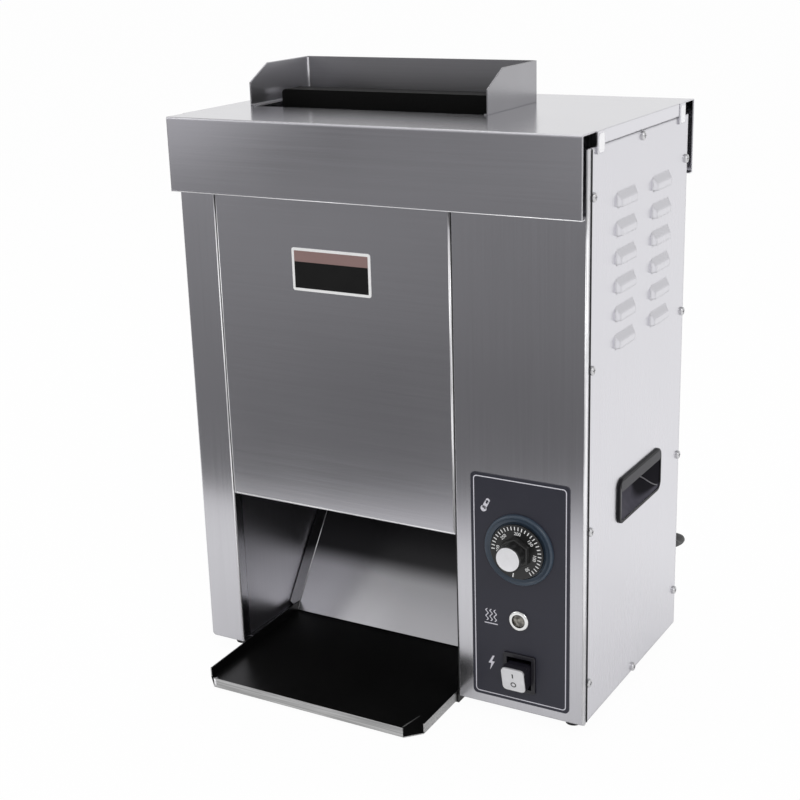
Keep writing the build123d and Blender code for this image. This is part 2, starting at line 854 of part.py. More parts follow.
def roller_bushes():
    """Flanged plain bearings pressed into the oven walls."""
    solids = []
    for y, z in shaft_places():
        for face, away in ((oven_left, -1), (oven_right, 1)):
            outer = face + away * frame_sheet
            bush = bar_x(bush_radius, (face, face + away * bush_length), y, z)
            bush += bar_x(bush_flange_radius, (outer, outer + away * bush_flange), y, z)
            solids.append(bush - bar_x(shaft_radius + running_clearance, (face - 9, face + 9), y, z))
    return group(solids)


# ------------------------------------------------------------------ gears, sprockets and motor
def involute_point(base, radius):
    """Angle swept by the involute of a base circle out to a radius."""
    roll = math.sqrt(max(radius * radius / (base * base) - 1, 0))
    return roll - math.atan(roll)


def gear_outline(turn):
    """Points of a spur gear's outline with its backlash; turn is in tooth pitches."""
    pitch = gear_pitch_radius
    base = pitch * math.cos(math.radians(20))
    tip = pitch + 0.92 * gear_module
    root = pitch - 1.25 * gear_module
    half_tooth = (math.pi * gear_module / 2 - gear_backlash) / 2 / pitch + involute_point(base, pitch)
    radii = [max(base, root + 0.2), pitch - 0.4 * gear_module, pitch, pitch + 0.5 * gear_module, tip]
    points = []
    for tooth in range(gear_teeth):
        centre = 2 * math.pi * (tooth + turn) / gear_teeth
        spread = [half_tooth - involute_point(base, radius) for radius in radii]
        flank = [(radius, -width) for radius, width in zip(radii, spread)]
        back = [(radius, width) for radius, width in reversed(list(zip(radii, spread)))]
        foot = [(root, -half_tooth - 0.01)]
        heel = [(root, half_tooth + 0.01)]
        for radius, angle in foot + flank + back + heel:
            points.append((radius * math.cos(centre + angle), radius * math.sin(centre + angle)))
    return points


def spur_gear(y, turn, bore):
    """Gear on a shaft along X, one tooth pointing along +Y when turn is 0."""
    points = [(y + py, drive_height + pz) for py, pz in gear_outline(turn)]
    gear = prism_x(points, (gear_x, gear_x + gear_width))
    return gear - bar_x(bore, (gear_x - 1, gear_x + gear_width + 1), y, drive_height)


def idler_gear_places():
    return platen_y - gear_pitch_radius, platen_y + gear_pitch_radius


def idler_gear_pins():
    """Fixed pins that the two middle gears turn on, with a collar at each end."""
    solids = []
    washer = gear_x + gear_width + washer_gap
    end = washer + idler_washer
    for y in idler_gear_places():
        pin = bar_x(idler_pin_radius, (oven_right + shaft_end_gap, end), y, drive_height)
        pin += bar_x(idler_collar_radius, (oven_right + frame_sheet, gear_x - collar_gap), y, drive_height)
        solids.append(pin + bar_x(idler_washer_radius, (washer, end), y, drive_height))
    return group(solids)


def sprocket_radius():
    return chain_pitch / (2 * math.sin(math.pi / sprocket_teeth))


def sprocket(y, z, bore):
    """Chain sprocket with a hub towards the motor side."""
    pitch = sprocket_radius()
    points = []
    for tooth in range(sprocket_teeth):
        centre = 2 * math.pi * tooth / sprocket_teeth
        step = math.pi / sprocket_teeth
        root, tip = pitch - sprocket_depth, pitch + sprocket_tip
        shape = ((root, -0.62), (tip, -0.22), (tip, 0.22), (root, 0.62))
        for radius, share in shape:
            angle = centre + share * step
            points.append((y + radius * math.cos(angle), z + radius * math.sin(angle)))
    wheel = prism_x(points, (sprocket_x, sprocket_x + chain_width - 1))
    wheel += bar_x(sprocket_hub_radius, (sprocket_x - sprocket_hub, sprocket_x), y, z)
    return wheel - bar_x(bore, (sprocket_x - 5, sprocket_x + chain_width + 1), y, z)


def chain_run(radius, x):
    """Solid with the outline of a loop round both sprockets."""
    low = (motor_y, base_z + motor_z)
    high = (front_shaft_y, drive_height)
    along = math.hypot(high[0] - low[0], high[1] - low[1])
    away = ((high[1] - low[1]) / along * radius, -(high[0] - low[0]) / along * radius)
    band = prism_x([(low[0] + away[0], low[1] + away[1]), (high[0] + away[0], high[1] + away[1]),
                    (high[0] - away[0], high[1] - away[1]), (low[0] - away[0], low[1] - away[1])], x)
    return band + bar_x(radius, x, *low) + bar_x(radius, x, *high)


def drive_chain():
    """Roller chain as one closed band, just clear of the sprockets' tips."""
    x = (sprocket_x - 0.5, sprocket_x + chain_width - 0.5)
    inner = sprocket_radius() + sprocket_tip + belt_clearance
    return chain_run(inner + chain_height, x) - chain_run(inner, (x[0] - 1, x[1] + 1))


def gear_motor():
    """Motor can and square gearbox, bored for the output shaft."""
    z = base_z + motor_z
    start = gearbox_x
    box = slab((start, start + gearbox_length),
               (motor_y - gearbox_side / 2, motor_y + gearbox_side / 2),
               (z - gearbox_side / 2, z + gearbox_side / 2))
    can_end = half_width - motor_wall_gap
    box += bar_x(motor_radius, (start + gearbox_length, can_end), motor_y, z)
    bore = motor_shaft_radius + running_clearance
    return box - bar_x(bore, (start - 1, start + gearbox_bore), motor_y, z)


def motor_sprocket():
    """Sprocket keyed on the motor's output shaft."""
    z = base_z + motor_z
    end = gearbox_x + gearbox_bore - shaft_end_gap
    shaft = bar_x(motor_shaft_radius, (sprocket_x - sprocket_hub - shaft_tail, end), motor_y, z)
    return group([sprocket(motor_y, z, motor_shaft_radius), shaft])


def motor_bracket():
    """Angle bracket under and behind the gearbox, standing on the base plate."""
    start = gearbox_x
    y = (motor_y - gearbox_side / 2, motor_y + gearbox_side / 2)
    z = base_z + motor_z - gearbox_side / 2
    low = base_z + frame_sheet
    t = bracket_sheet
    bracket = slab((start, start + gearbox_length), y, (z - t, z))
    bracket += slab((start, start + t), y, (low, z))
    bracket += slab((start, start + gearbox_length), y, (low, low + t))
    return bracket


# ------------------------------------------------------------------ chute and tray
def chute_rear_z():
    rise = (chute_rear_y - chute_front_y) / math.tan(math.radians(chute_angle))
    return base_z + chute_front_z + rise


def deflector():
    """Sloping chute plate with a turned-up flange at each end and a rear hook flange."""
    t = frame_sheet
    slope = math.radians(chute_angle)
    along = (math.sin(slope), math.cos(slope))
    normal = (-math.cos(slope), math.sin(slope))
    foot = (chute_front_y, base_z + chute_front_z)
    head = (chute_rear_y, chute_rear_z())
    back = (foot[0] - normal[0] * t, foot[1] - normal[1] * t)
    back_head = (head[0] - normal[0] * t, head[1] - normal[1] * t)
    x = (oven_left + chute_left_gap, oven_right - chute_right_gap)
    plate = prism_x([foot, head, back_head, (back[0] + along[0] * t, back[1] + along[1] * t)], x)
    rise = chute_flange
    lower = [foot[k] + along[k] * flange_foot + normal[k] * rise for k in range(2)]
    upper = [head[k] - along[k] * flange_head + normal[k] * rise for k in range(2)]
    wing = [foot, lower, upper, head]
    for edge in ((x[0], x[0] + t), (x[1] - t, x[1])):
        plate += prism_x(wing, edge)
    hook = slab(x, (head[0] - 0.5, rear_shield_y), (head[1] - t, head[1]))
    return plate + hook


def deflector_pins():
    """Stand-offs between the deflector's end flanges and the oven walls."""
    slope = math.radians(chute_angle)
    up = (chute_rear_z() - base_z) * chute_pin_share
    y = chute_front_y + up * math.tan(slope) - chute_pin_rise * math.cos(slope)
    z = base_z + up + chute_pin_rise * math.sin(slope)
    x = (oven_left + chute_left_gap, oven_right - chute_right_gap)
    return [bar_x(chute_pin_radius, (oven_left, x[0]), y, z), bar_x(chute_pin_radius, (x[1], oven_right), y, z)]


def tray_x():
    return oven_left + tray_left_gap, oven_right - tray_right_gap


def tray_bay_x():
    """Opening in the base plate for the tray and its runners."""
    x = tray_x()
    return x[0] - runner_gap - frame_sheet, x[1] + runner_gap + frame_sheet


def tray_place():
    """Tilts a level tray about the line where it passes the body's front face."""
    return Pos(0, 0, base_z + tray_axis_z) * Rot(tray_tilt, 0, 0)


def tray():
    """Shallow coated landing tray with upturned ends and lip and notched front corners."""
    t = tray_thickness
    x = tray_x()
    cut = tray_corner
    outline = [(x[0], -tray_front + cut), (x[0] + cut, -tray_front), (x[1] - cut, -tray_front),
               (x[1], -tray_front + cut), (x[1], tray_rear), (x[0], tray_rear)]
    pan = prism_z(outline, (0, t))
    for edge in ((x[0], x[0] + t), (x[1] - t, x[1])):
        pan += slab(edge, (-tray_front + cut, tray_rear), (0, tray_rim))
    pan += slab((x[0] + cut, x[1] - cut), (-tray_front, -tray_front + t), (0, tray_rim))
    pan = fillet(edges_at(pan, Axis.X, None, -tray_front, 0), t * 0.9)
    for edge_x in x:
        pan = fillet(edges_at(pan, Axis.Y, edge_x, None, 0), t * 0.9)
    return tray_place() * pan


def tray_runners():
    """Rails hung from the base plate that the tray slides along."""
    t = frame_sheet
    y = (runner_end_gap, tray_rear + runner_end_gap)
    x = tray_x()
    solids = []
    for inner, sign in ((x[0] - runner_gap, 1), (x[1] + runner_gap, -1)):
        outer = inner - sign * t
        ledge = tray_place() * slab((outer, inner + sign * runner_ledge), y, (-slide_gap - t, -slide_gap))
        web = slab((outer, inner), y, (0, base_z))
        above = tray_place() * slab((outer - 5, inner + 5), (y[0] - 9, y[1] + 9), (-slide_gap - t, 40))
        rail = ledge + (web & above)
        rail += slab((outer, outer - sign * runner_flange), y, (base_z - t, base_z))
        solids.append(rail)
    return group(solids)


# ------------------------------------------------------------------ controls
def control_label():
    """Printed overlay plate for the controls."""
    x = half_width - label_inset - label_width / 2
    z = base_z + label_low + label_height / 2
    plate = rounded_plate_y(label_width, label_height, label_corner, x, (label_face, 0), z)
    for hole in control_holes((-2, 1)):
        plate -= hole
    return plate


def thermostat_bezel():
    """Round scale ring behind the dial."""
    y = (label_face - bezel_thickness, label_face)
    ring = bar_y(bezel_radius, control_centre, y, thermostat_height)
    front = ring.edges().filter_by(GeomType.CIRCLE).sort_by(Axis.Y)[0]
    ring = fillet(front, bezel_thickness * 0.4)
    return ring - bar_y(dial_radius * 0.6, control_centre, (y[0] - 1, 1), thermostat_height)


def dial_y():
    back = label_face - bezel_thickness - dial_gap
    return back - dial_thickness, back


def thermostat_dial():
    """Dial disc and finger grip in one moulding, pushed on the spindle."""
    y = dial_y()
    dial = bar_y(dial_radius, control_centre, y, thermostat_height)
    rim = dial.edges().filter_by(GeomType.CIRCLE).sort_by(Axis.Y)[0]
    dial = fillet(rim, dial_thickness * 0.4)
    grip = (y[0] - grip_length, y[0])
    dial += bar_y(grip_radius, control_centre, grip, thermostat_height)
    dial -= bar_y(cap_radius, control_centre, (grip[0] - 1, grip[0] + cap_thickness), thermostat_height)
    return dial - bar_y(spindle_radius, control_centre, (grip[0] + spindle_seat, y[1] + 1), thermostat_height)


def thermostat_cap():
    """Bright disc in the end of the grip."""
    front = dial_y()[0] - grip_length
    cap = bar_y(cap_radius, control_centre, (front - cap_proud, front + cap_thickness), thermostat_height)
    edge = cap.edges().filter_by(GeomType.CIRCLE).sort_by(Axis.Y)[0]
    return fillet(edge, 0.35)


def thermostat_spindle():
    start = dial_y()[0] - grip_length + spindle_seat
    return bar_y(spindle_radius, control_centre, (start, outer_sheet + spindle_depth), thermostat_height)


def thermostat_body():
    """Capillary thermostat behind the column, bored for its spindle."""
    x, z = control_centre, thermostat_height
    width, height = thermostat_side
    back = outer_sheet + thermostat_depth
    body = slab((x - width / 2, x + width / 2), (outer_sheet, back), (z - height / 2, z + height / 2))
    body += bar_y(thermostat_hub_radius, x, (back, back + thermostat_hub), z)
    return body - bar_y(spindle_radius + running_clearance, x, (0, outer_sheet + spindle_depth + dial_gap), z)


def sensor_capillary():
    """Sensing bulb in the platen and the thin tube back to the thermostat."""
    z = bulb_height()
    wall = oven_right + frame_sheet + bulb_tail
    bulb = bar_x(bulb_radius, (platen_x[0] + platen_length / 2, wall), platen_y, z)
    x_end = control_centre
    end_y = outer_sheet + thermostat_depth + thermostat_hub
    drop_y = end_y + capillary_drop
    line = FilletPolyline((wall, platen_y, z), (x_end, platen_y, z), (x_end, drop_y, z),
                          (x_end, drop_y, thermostat_height), (x_end, end_y, thermostat_height),
                          radius=capillary_bend)
    path = Plane(origin=line @ 0, z_dir=line % 0)
    return bulb + sweep(path * Circle(capillary_radius), path=line)


def lamp_housing():
    """Bright ring in front of the label and, behind the column, the body it screws on."""
    y = (label_face - lamp_ring_height, label_face)
    ring = bar_y(lamp_ring_radius, control_centre, y, lamp_height)
    front = ring.edges().filter_by(GeomType.CIRCLE).sort_by(Axis.Y)[0]
    ring = fillet(front, lamp_ring_height * 0.5)
    ring -= bar_y(lamp_lens_radius + 0.1, control_centre, (y[0] - 1, 1), lamp_height)
    back = (outer_sheet, outer_sheet + lamp_body_length)
    body = bar_y(lamp_lens_radius + 0.5, control_centre, back, lamp_height)
    body += bar_y(lamp_ring_radius, control_centre, (outer_sheet, outer_sheet + lamp_nut), lamp_height)
    return group([ring, body])


def lamp_lens():
    """Domed lens held in the ring."""
    y = (label_face - lamp_ring_height - lens_proud, outer_sheet)
    lens = bar_y(lamp_lens_radius, control_centre, y, lamp_height)
    front = lens.edges().filter_by(GeomType.CIRCLE).sort_by(Axis.Y)[0]
    return fillet(front, lens_dome)


def switch_well_x():
    return switch_width - 2 * switch_wall


def switch_well_z():
    return switch_height - 2 * switch_wall


def switch_pivot_y():
    return label_face - switch_frame_thickness + rocker_pivot_depth


def switch_housing():
    """Snap-in switch housing with its rocker pin and terminal blades: a rim in front of the
    label and a body behind it."""
    x, z = control_centre, switch_centre_z
    front = (label_face - switch_frame_thickness, label_face)
    rim = rounded_plate_y(switch_width, switch_height, 2, x, front, z)
    rim = fillet(rim.faces().sort_by(Axis.Y)[0].edges(), 0.7)
    well_x, well_z = switch_well_x(), switch_well_z()
    body = slab((x - well_x / 2 - 1, x + well_x / 2 + 1), (label_face, switch_body_depth),
                (z - well_z / 2 - 1, z + well_z / 2 + 1))
    well = slab((x - well_x / 2, x + well_x / 2), (front[0] - 1, switch_well_depth),
                (z - well_z / 2, z + well_z / 2))
    pin = bar_x(rocker_pin_radius, (x - well_x / 2 - 0.5, x + well_x / 2 + 0.5), switch_pivot_y(), z)
    return group([rim + body - well + pin] + switch_terminals())


def rocker_turn():
    """Tips a rocker drawn square to the panel towards its off side."""
    pivot = (switch_pivot_y(), switch_centre_z)
    return Pos(0, *pivot) * Rot(rocker_angle, 0, 0) * Pos(0, -pivot[0], -pivot[1])


def switch_rocker():
    """Raised rocker on a round hub, bored for the pin, with a seat for its face plate."""
    x, z = control_centre, switch_centre_z
    pivot = switch_pivot_y()
    front = pivot - rocker_reach
    pad = rounded_plate_y(rocker_width, rocker_pad_height, rocker_corner, x, (front, pivot), z)
    half = rocker_width / 2
    rocker = pad + bar_x(rocker_hub_radius, (x - half, x + half), pivot, z)
    rocker -= bar_x(rocker_pin_radius + running_clearance, (x - half - 1, x + half + 1), pivot, z)
    return rocker_turn() * rocker


def rocker_face():
    """Bright face plate stuck on the rocker's front."""
    front = switch_pivot_y() - rocker_reach
    inset = face_plate_inset
    plate = rounded_plate_y(rocker_width - 2 * inset, rocker_pad_height - 2 * inset, rocker_corner - inset,
                            control_centre, (front - face_plate_thickness, front), switch_centre_z)
    plate = fillet(plate.faces().sort_by(Axis.Y)[0].edges(), face_plate_thickness * 0.6)
    return rocker_turn() * plate


def switch_terminals():
    """Four blades behind the switch."""
    blades = []
    half, thin = blade_width / 2, blade_thickness / 2
    for side in (-0.5, 0.5):
        for level in (-0.5, 0.5):
            x = control_centre + side * blade_pitch[0]
            z = switch_centre_z + level * blade_pitch[1]
            y = (switch_body_depth, switch_body_depth + blade_length)
            blades.append(slab((x - half, x + half), y, (z - thin, z + thin)))
    return blades


def terminal_block():
    """Supply terminal block on the base plate."""
    low = base_z + frame_sheet
    width, depth, height = terminal_size
    right, rear = half_width - terminal_inset[0], body_depth - terminal_inset[1]
    block = slab((right - width, right), (rear - depth, rear), (low, low + height))
    pitch = width / terminal_poles
    for pole in range(terminal_poles):
        x = right - (pole + 0.5) * pitch
        block -= bar_z(terminal_hole_radius, x, rear - depth / 2, (low + terminal_hole_floor, low + height + 1))
    return block


# ------------------------------------------------------------------ supply cord
def cord_x():
    return half_width - cord_inset


def cord_z():
    return base_z + cord_exit_z


def cord_gland():
    """Gland nut outside the rear panel with a tapered rubber strain relief, and its lock nut."""
    x, z, back = cord_x(), cord_z(), body_depth
    nut_end = back + gland_nut_length
    gland = bar_y(gland_nut_radius, x, (back, nut_end), z)
    taper = Pos(x, (nut_end + back + relief_length) / 2, z) * Rot(-90, 0, 0) * Cone(
        relief_radius, relief_end_radius, relief_length - gland_nut_length)
    gland += taper
    gland += bar_y(relief_radius, x, (back - gland_tail, back), z)
    gland += bar_y(gland_nut_radius, x, (back - outer_sheet - lock_nut, back - outer_sheet), z)
    return gland


def cord_route():
    """Points of the cord from the strain relief to the coil, chosen by hand.
    x from the middle, y from the body's rear face, z from the counter."""
    points = [
        (183, 22, 95), (189, 44, 90), (181, 66, 76), (161, 85, 58), (138, 100, 38),
        (114, 112, 20), (90, 118.5, 9), (66, 121.5, 4.3), (43, 122.2, 4.2), (22, 122, 4.2),
    ]
    return [(x, body_depth + y, z) for x, y, z in points]


def tail_route():
    """Points of the short lead from the coil's top turn to the plug."""
    points = [(18, 122, 12.2), (-8, 122.6, 12.4), (-33, 120.4, 13.2), (-57, 117, 14)]
    return [(x, body_depth + y, z) for x, y, z in points]


def corner_radii(points):
    """Arc radius at each inner point: 0.45 of the shorter run over the tangent of half the turn."""
    radii = []
    for before, here, after in zip(points, points[1:], points[2:]):
        run_in = Vector(*here) - Vector(*before)
        run_out = Vector(*after) - Vector(*here)
        half_turn = math.radians(run_in.get_angle(run_out)) / 2
        radii.append(0.45 * min(run_in.length, run_out.length) / math.tan(half_turn))
    return radii


def cord_tube(name, points):
    """Round tube along straight runs joined by tangent arcs."""
    radii = corner_radii(points)
    print(name, "bend radii", [round(radius) for radius in radii])
    line = FilletPolyline(*points, radius=radii)
    start = Plane(origin=line @ 0, z_dir=line % 0)
    tube = sweep(start * Circle(cord_radius), path=line)
    section = math.pi * cord_radius ** 2
    print(name, "length", round(line.length, 1), "volume ratio", round(tube.volume / (section * line.length), 4))
    return tube


def cord_coil():
    """Outer shape of the stored coil lying behind the toaster."""
    height = 2 * cord_radius * coil_layers
    centre = (coil_x, body_depth + coil_gap)
    ring = bar_z(coil_radius + coil_reach, *centre, (coil_floor_gap, coil_floor_gap + height))
    return ring - bar_z(coil_radius - coil_reach, *centre, (0, height + 1))


def plug_start():
    return tail_route()[-1]


def plug():
    """Moulded plug lying on its side, with a tapered neck and two round pins."""
    x, y, z = plug_start()
    neck = Pos(x - plug_relief / 2, y, z) * Rot(0, -90, 0) * Cone(relief_end_radius, plug_neck_radius, plug_relief)
    start = x - plug_relief - plug_length
    body = bar_x(plug_radius - plug_floor_gap, (start, x - plug_relief), y, z)
    pins = [bar_x(pin_radius, (start - pin_length, start), y + side * pin_spacing / 2, z) for side in (-1, 1)]
    return group([neck + body] + pins)


# ------------------------------------------------------------------ assembly
def build_nodes():
    """Every node of the toaster by name."""
    return {
        "base_plate": base_plate(),
        "feet": feet(),
        "left_side_panel": side_panel(-1),
        "right_side_panel": side_panel(1),
        "left_front_column": left_front_column(),
        "control_column": control_column(),
        "front_panel": front_panel(),
        "rear_panel": rear_panel(),
        "top_rails": top_rails(),
        "hood": hood(),
        "feed_guard": feed_guard(),
        "screws": screws(),
        "left_handle": recessed_handle(-1),
        "right_handle": recessed_handle(1),
        "left_inner_wall": left_inner_wall(),
        "right_inner_wall": right_inner_wall(),
        "front_heat_shield": front_heat_shield(),
        "rear_heat_shield": rear_heat_shield(),
        "platen": platen(),
        "release_sheet": release_sheet(),
        "platen_heaters": platen_heaters(),
        "oven_standoffs": oven_standoffs(),
        "front_belt": belt(front_shaft_y),
        "rear_belt": belt(rear_shaft_y),
        "front_drive_roller": roller(front_shaft_y, drive_height, drive_reach(True)),
        "front_idler_roller": roller(front_shaft_y, idler_height, idler_reach()),
        "rear_drive_roller": roller(rear_shaft_y, drive_height, drive_reach(False)),
        "rear_idler_roller": roller(rear_shaft_y, idler_height, idler_reach()),
        "roller_bushes": roller_bushes(),
        "front_shaft_gear": spur_gear(front_shaft_y, 0, shaft_radius),
        "middle_gear_a": spur_gear(idler_gear_places()[0], 0.5, idler_pin_radius + running_clearance),
        "middle_gear_b": spur_gear(idler_gear_places()[1], 0, idler_pin_radius + running_clearance),
        "rear_shaft_gear": spur_gear(rear_shaft_y, 0.5, shaft_radius),
        "middle_gear_pins": idler_gear_pins(),
        "shaft_sprocket": sprocket(front_shaft_y, drive_height, shaft_radius),
        "motor_sprocket": motor_sprocket(),
        "drive_chain": drive_chain(),
        "gear_motor": gear_motor(),
        "motor_bracket": motor_bracket(),
        "deflector": deflector(),
        "tray": tray(),
        "tray_runners": tray_runners(),
        "control_label": control_label(),
        "thermostat_bezel": thermostat_bezel(),
        "thermostat_dial": thermostat_dial(),
        "thermostat_cap": thermostat_cap(),
        "thermostat_spindle": thermostat_spindle(),
        "thermostat_body": thermostat_body(),
        "sensor_capillary": sensor_capillary(),
        "lamp_housing": lamp_housing(),
        "lamp_lens": lamp_lens(),
        "switch_housing": switch_housing(),
        "switch_rocker": switch_rocker(),
        "rocker_face": rocker_face(),
        "terminal_block": terminal_block(),
    }


def cord_nodes():
    """The supply cord and what is on it."""
    return {
        "cord_gland": cord_gland(),
        "power_cord": cord_tube("power_cord", cord_route()),
        "cord_coil": cord_coil(),
        "cord_tail": cord_tube("cord_tail", tail_route()),
        "plug": plug(),
    }


toaster = build_nodes()
boxes = [shape.bounding_box() for shape in toaster.values()]
front = min(box.min.Y for box in boxes)
rear = max(box.max.Y for box in boxes)
to_origin = Pos(0, -(front + rear) / 2, 0)
print("front", round(front, 3), "rear", round(rear, 3), "shift", round(-(front + rear) / 2, 4))

os.makedirs("parts", exist_ok=True)
for node, shape in {**toaster, **cord_nodes()}.items():
    export_step(to_origin * shape, f"parts/{node}.step")
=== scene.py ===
import math

import bmesh
import bpy
from mathutils import Matrix, Vector


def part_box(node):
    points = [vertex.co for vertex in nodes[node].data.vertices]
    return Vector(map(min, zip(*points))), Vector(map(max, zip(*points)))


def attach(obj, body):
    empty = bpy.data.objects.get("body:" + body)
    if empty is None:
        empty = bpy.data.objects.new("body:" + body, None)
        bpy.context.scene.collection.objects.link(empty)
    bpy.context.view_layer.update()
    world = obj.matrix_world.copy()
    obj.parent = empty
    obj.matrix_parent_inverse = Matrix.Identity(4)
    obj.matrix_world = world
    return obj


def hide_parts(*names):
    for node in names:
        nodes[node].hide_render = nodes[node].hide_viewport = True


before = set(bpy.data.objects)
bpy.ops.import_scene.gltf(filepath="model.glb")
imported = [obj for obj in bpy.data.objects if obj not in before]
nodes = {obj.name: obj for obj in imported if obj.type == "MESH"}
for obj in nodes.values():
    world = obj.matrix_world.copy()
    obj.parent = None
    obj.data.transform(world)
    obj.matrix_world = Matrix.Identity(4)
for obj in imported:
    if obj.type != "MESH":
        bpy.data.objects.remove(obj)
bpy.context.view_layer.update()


# ---- viewpoint
# A moderately long lens from the front right, a little above the hood, as a catalogue shows
# such a machine.
eye = (0.6530, -1.15965, 0.6839)
azimuth = math.radians(30.275)
elevation = math.radians(17.624)
roll = math.radians(-1.734)
towards_eye = Vector((
    math.sin(azimuth) * math.cos(elevation),
    -math.cos(azimuth) * math.cos(elevation),
    math.sin(elevation),
))


def added(name, data):
    """A new object, put in the scene."""
    made = bpy.data.objects.new(name, data)
    bpy.context.scene.collection.objects.link(made)
    return made


def aimed(place, direction):
    """A place turned so that its Z looks along a direction."""
    return Matrix.Translation(place) @ direction.to_track_quat("Z", "Y").to_matrix().to_4x4()


camera = added("camera", bpy.data.cameras.new("camera"))
camera.data.lens = 67.51
camera.data.sensor_width = 36.0
camera.matrix_world = aimed(eye, towards_eye) @ Matrix.Rotation(roll, 4, "Z")
bpy.context.scene.camera = camera
bpy.context.scene.view_settings.view_transform = "Standard"


# ---- studio
# A pale seamless floor under soft light. The sheet steel needs something to mirror: a grey card
# leans in front on the left, seen only in reflections.
class Tone:
    """One output of a shader's nodes. Arithmetic on it adds Math nodes."""

    def __init__(self, tree, socket=None):
        self.tree = tree
        self.socket = socket

    def node(self, kind, settings=None, inputs=None, output=0):
        """Adds a node, sets it, then gives its sockets their values or links."""
        made = self.tree.nodes.new(kind)
        for key, value in (settings or {}).items():
            setattr(made, key, value)
        for key, value in (inputs or {}).items():
            if isinstance(value, Tone):
                self.tree.links.new(value.socket, made.inputs[key])
            else:
                made.inputs[key].default_value = value
        return Tone(self.tree, made.outputs[output])

    def math(self, operation, *values):
        return self.node("ShaderNodeMath", {"operation": operation}, dict(enumerate(values)))

    def part(self, axis):
        """One component of a vector: 0 for x, 1 for y, 2 for z."""
        return self.node("ShaderNodeSeparateXYZ", None, {0: self}, axis)

    def __add__(self, other):
        return self.math("ADD", self, other)

    def __sub__(self, other):
        return self.math("SUBTRACT", self, other)

    def __mul__(self, other):
        return self.math("MULTIPLY", self, other)

    def __rsub__(self, other):
        return self.math("SUBTRACT", other, self)

    __radd__ = __add__
    __rmul__ = __mul__

    def between(self, low, high):
        """0 below low, 1 above high, and a smooth step between them."""
        return self.node("ShaderNodeMapRange", {"interpolation_type": "SMOOTHSTEP"},
                         {"Value": self, "From Min": low, "From Max": high})

    def blend(self, first, second):
        """The first colour where this is 0 and the second where it is 1."""
        return self.node("ShaderNodeMix", {"data_type": "RGBA"}, {0: self, 6: first, 7: second}, 2)


def grey(value, blue=0.0):
    """An opaque colour of one lightness, a little blue and violet if asked."""
    return (value, value * (1 - 0.2 * blue), value * (1 + blue), 1.0)


def seen_directly(tone):
    """1 for what the camera sees straight, in a mirror or through glass, and 0 for the light."""
    path = [tone.node("ShaderNodeLightPath", output=name)
            for name in ("Is Camera Ray", "Is Glossy Ray", "Is Transmission Ray")]
    return tone.math("MAXIMUM", tone.math("MAXIMUM", path[0], path[1]), path[2])


ambient = 0.62
world = bpy.data.worlds.new("studio")
world.use_nodes = True
bpy.context.scene.world = world
sky = Tone(world.node_tree)
direction = sky.node("ShaderNodeTexCoord", output="Generated")
overhead = 0.30 * direction.part(2).between(0.30, 0.62)
rightwards = 0.22 * direction.part(0).between(0.0, 0.25) * direction.part(2).between(-0.02, 0.15)
dusk = sky.node("ShaderNodeLightPath", output="Is Glossy Ray") * (overhead + rightwards)
world.node_tree.links.new(
    (ambient + (1.0 - ambient) * seen_directly(sky) - dusk).socket,
    world.node_tree.nodes["Background"].inputs["Strength"],
)
world.node_tree.nodes["Background"].inputs["Color"].default_value = grey(1.0)


def backdrop(name, width, depth, place):
    """A plain sheet of the studio, with an empty material: the object and the material's tone."""
    shape = bmesh.new()
    bmesh.ops.create_grid(shape, x_segments=1, y_segments=1, size=0.5)
    span = Matrix.Diagonal((width, depth, 1.0, 1.0))
    shape.transform(place @ span)
    made = added(name, bpy.data.meshes.new(name))
    shape.to_mesh(made.data)
    shape.free()
    paint = bpy.data.materials.new(name)
    paint.use_nodes = True
    paint.node_tree.nodes.remove(paint.node_tree.nodes["Principled BSDF"])
    made.data.materials.append(paint)
    return made, Tone(paint.node_tree)


def show(tone, shown):
    """Ends a backdrop's nodes in its output."""
    tone.tree.links.new(shown.socket, tone.tree.nodes["Material Output"].inputs["Surface"])


floor_size = 40.0
shadow_reach, shadow_depth = 0.26, 0.55
floor, sheet = backdrop("floor", floor_size, floor_size, Matrix.Identity(4))
glow = sheet.node("ShaderNodeEmission", None, {"Color": grey(1.0), "Strength": 1.0})
lit = sheet.node("ShaderNodeBsdfDiffuse", None, {"Color": grey(0.9)})
floor_place = sheet.node("ShaderNodeTexCoord", output="Object")
beside = sheet.math("ABSOLUTE", floor_place.part(0)) - 0.20
before = sheet.math("ABSOLUTE", floor_place.part(1)) - 0.12
clear = sheet.math("MAXIMUM", beside, before).between(0.0, shadow_reach)
foot_shade = (1.0 - clear) * sheet.node("ShaderNodeLightPath", output="Is Glossy Ray")
bare_floor = seen_directly(sheet) * (0.97 - shadow_depth * foot_shade)
show(sheet, sheet.node("ShaderNodeMixShader", None, {0: bare_floor, 1: lit, 2: glow}))

# The card is white at its near end and grey beyond, where it has lighter and darker patches. It
# starts to darken nearer the toaster on the left.
card_near, card_far = -0.31, -4.0
card_left, card_right = -5.0, 0.30
card_rise = 1.1
card_middle = ((card_left + card_right) / 2, (card_near + card_far) / 2, card_rise / 2)
card_tilt = Matrix.Rotation(-math.atan2(card_rise, card_near - card_far), 4, "X")
card, board = backdrop("card", card_right - card_left, card_near - card_far,
                       Matrix.Translation(card_middle) @ card_tilt)
card.visible_camera = card.visible_diffuse = False
card.visible_shadow = card.visible_transmission = False
board_place = board.node("ShaderNodeTexCoord", output="Object")
board_x, board_y = board_place.part(0), board_place.part(1)
near_light, far_light = 0.86, 0.31
near_glow = (board_y + 0.23 * board_x).between(-0.518, -0.382)
far_shade = far_light - 0.05 * board_x.between(-0.75, -0.20) - 0.06 * board_y.between(-0.95, -0.58)
far_end = 1.0 - board_y.between(-1.30, -1.14)
left_patch = 0.37 * (1.0 - board_x.between(-1.20, -0.93))
right_patch = 0.10 * board_x.between(-0.55, -0.30)
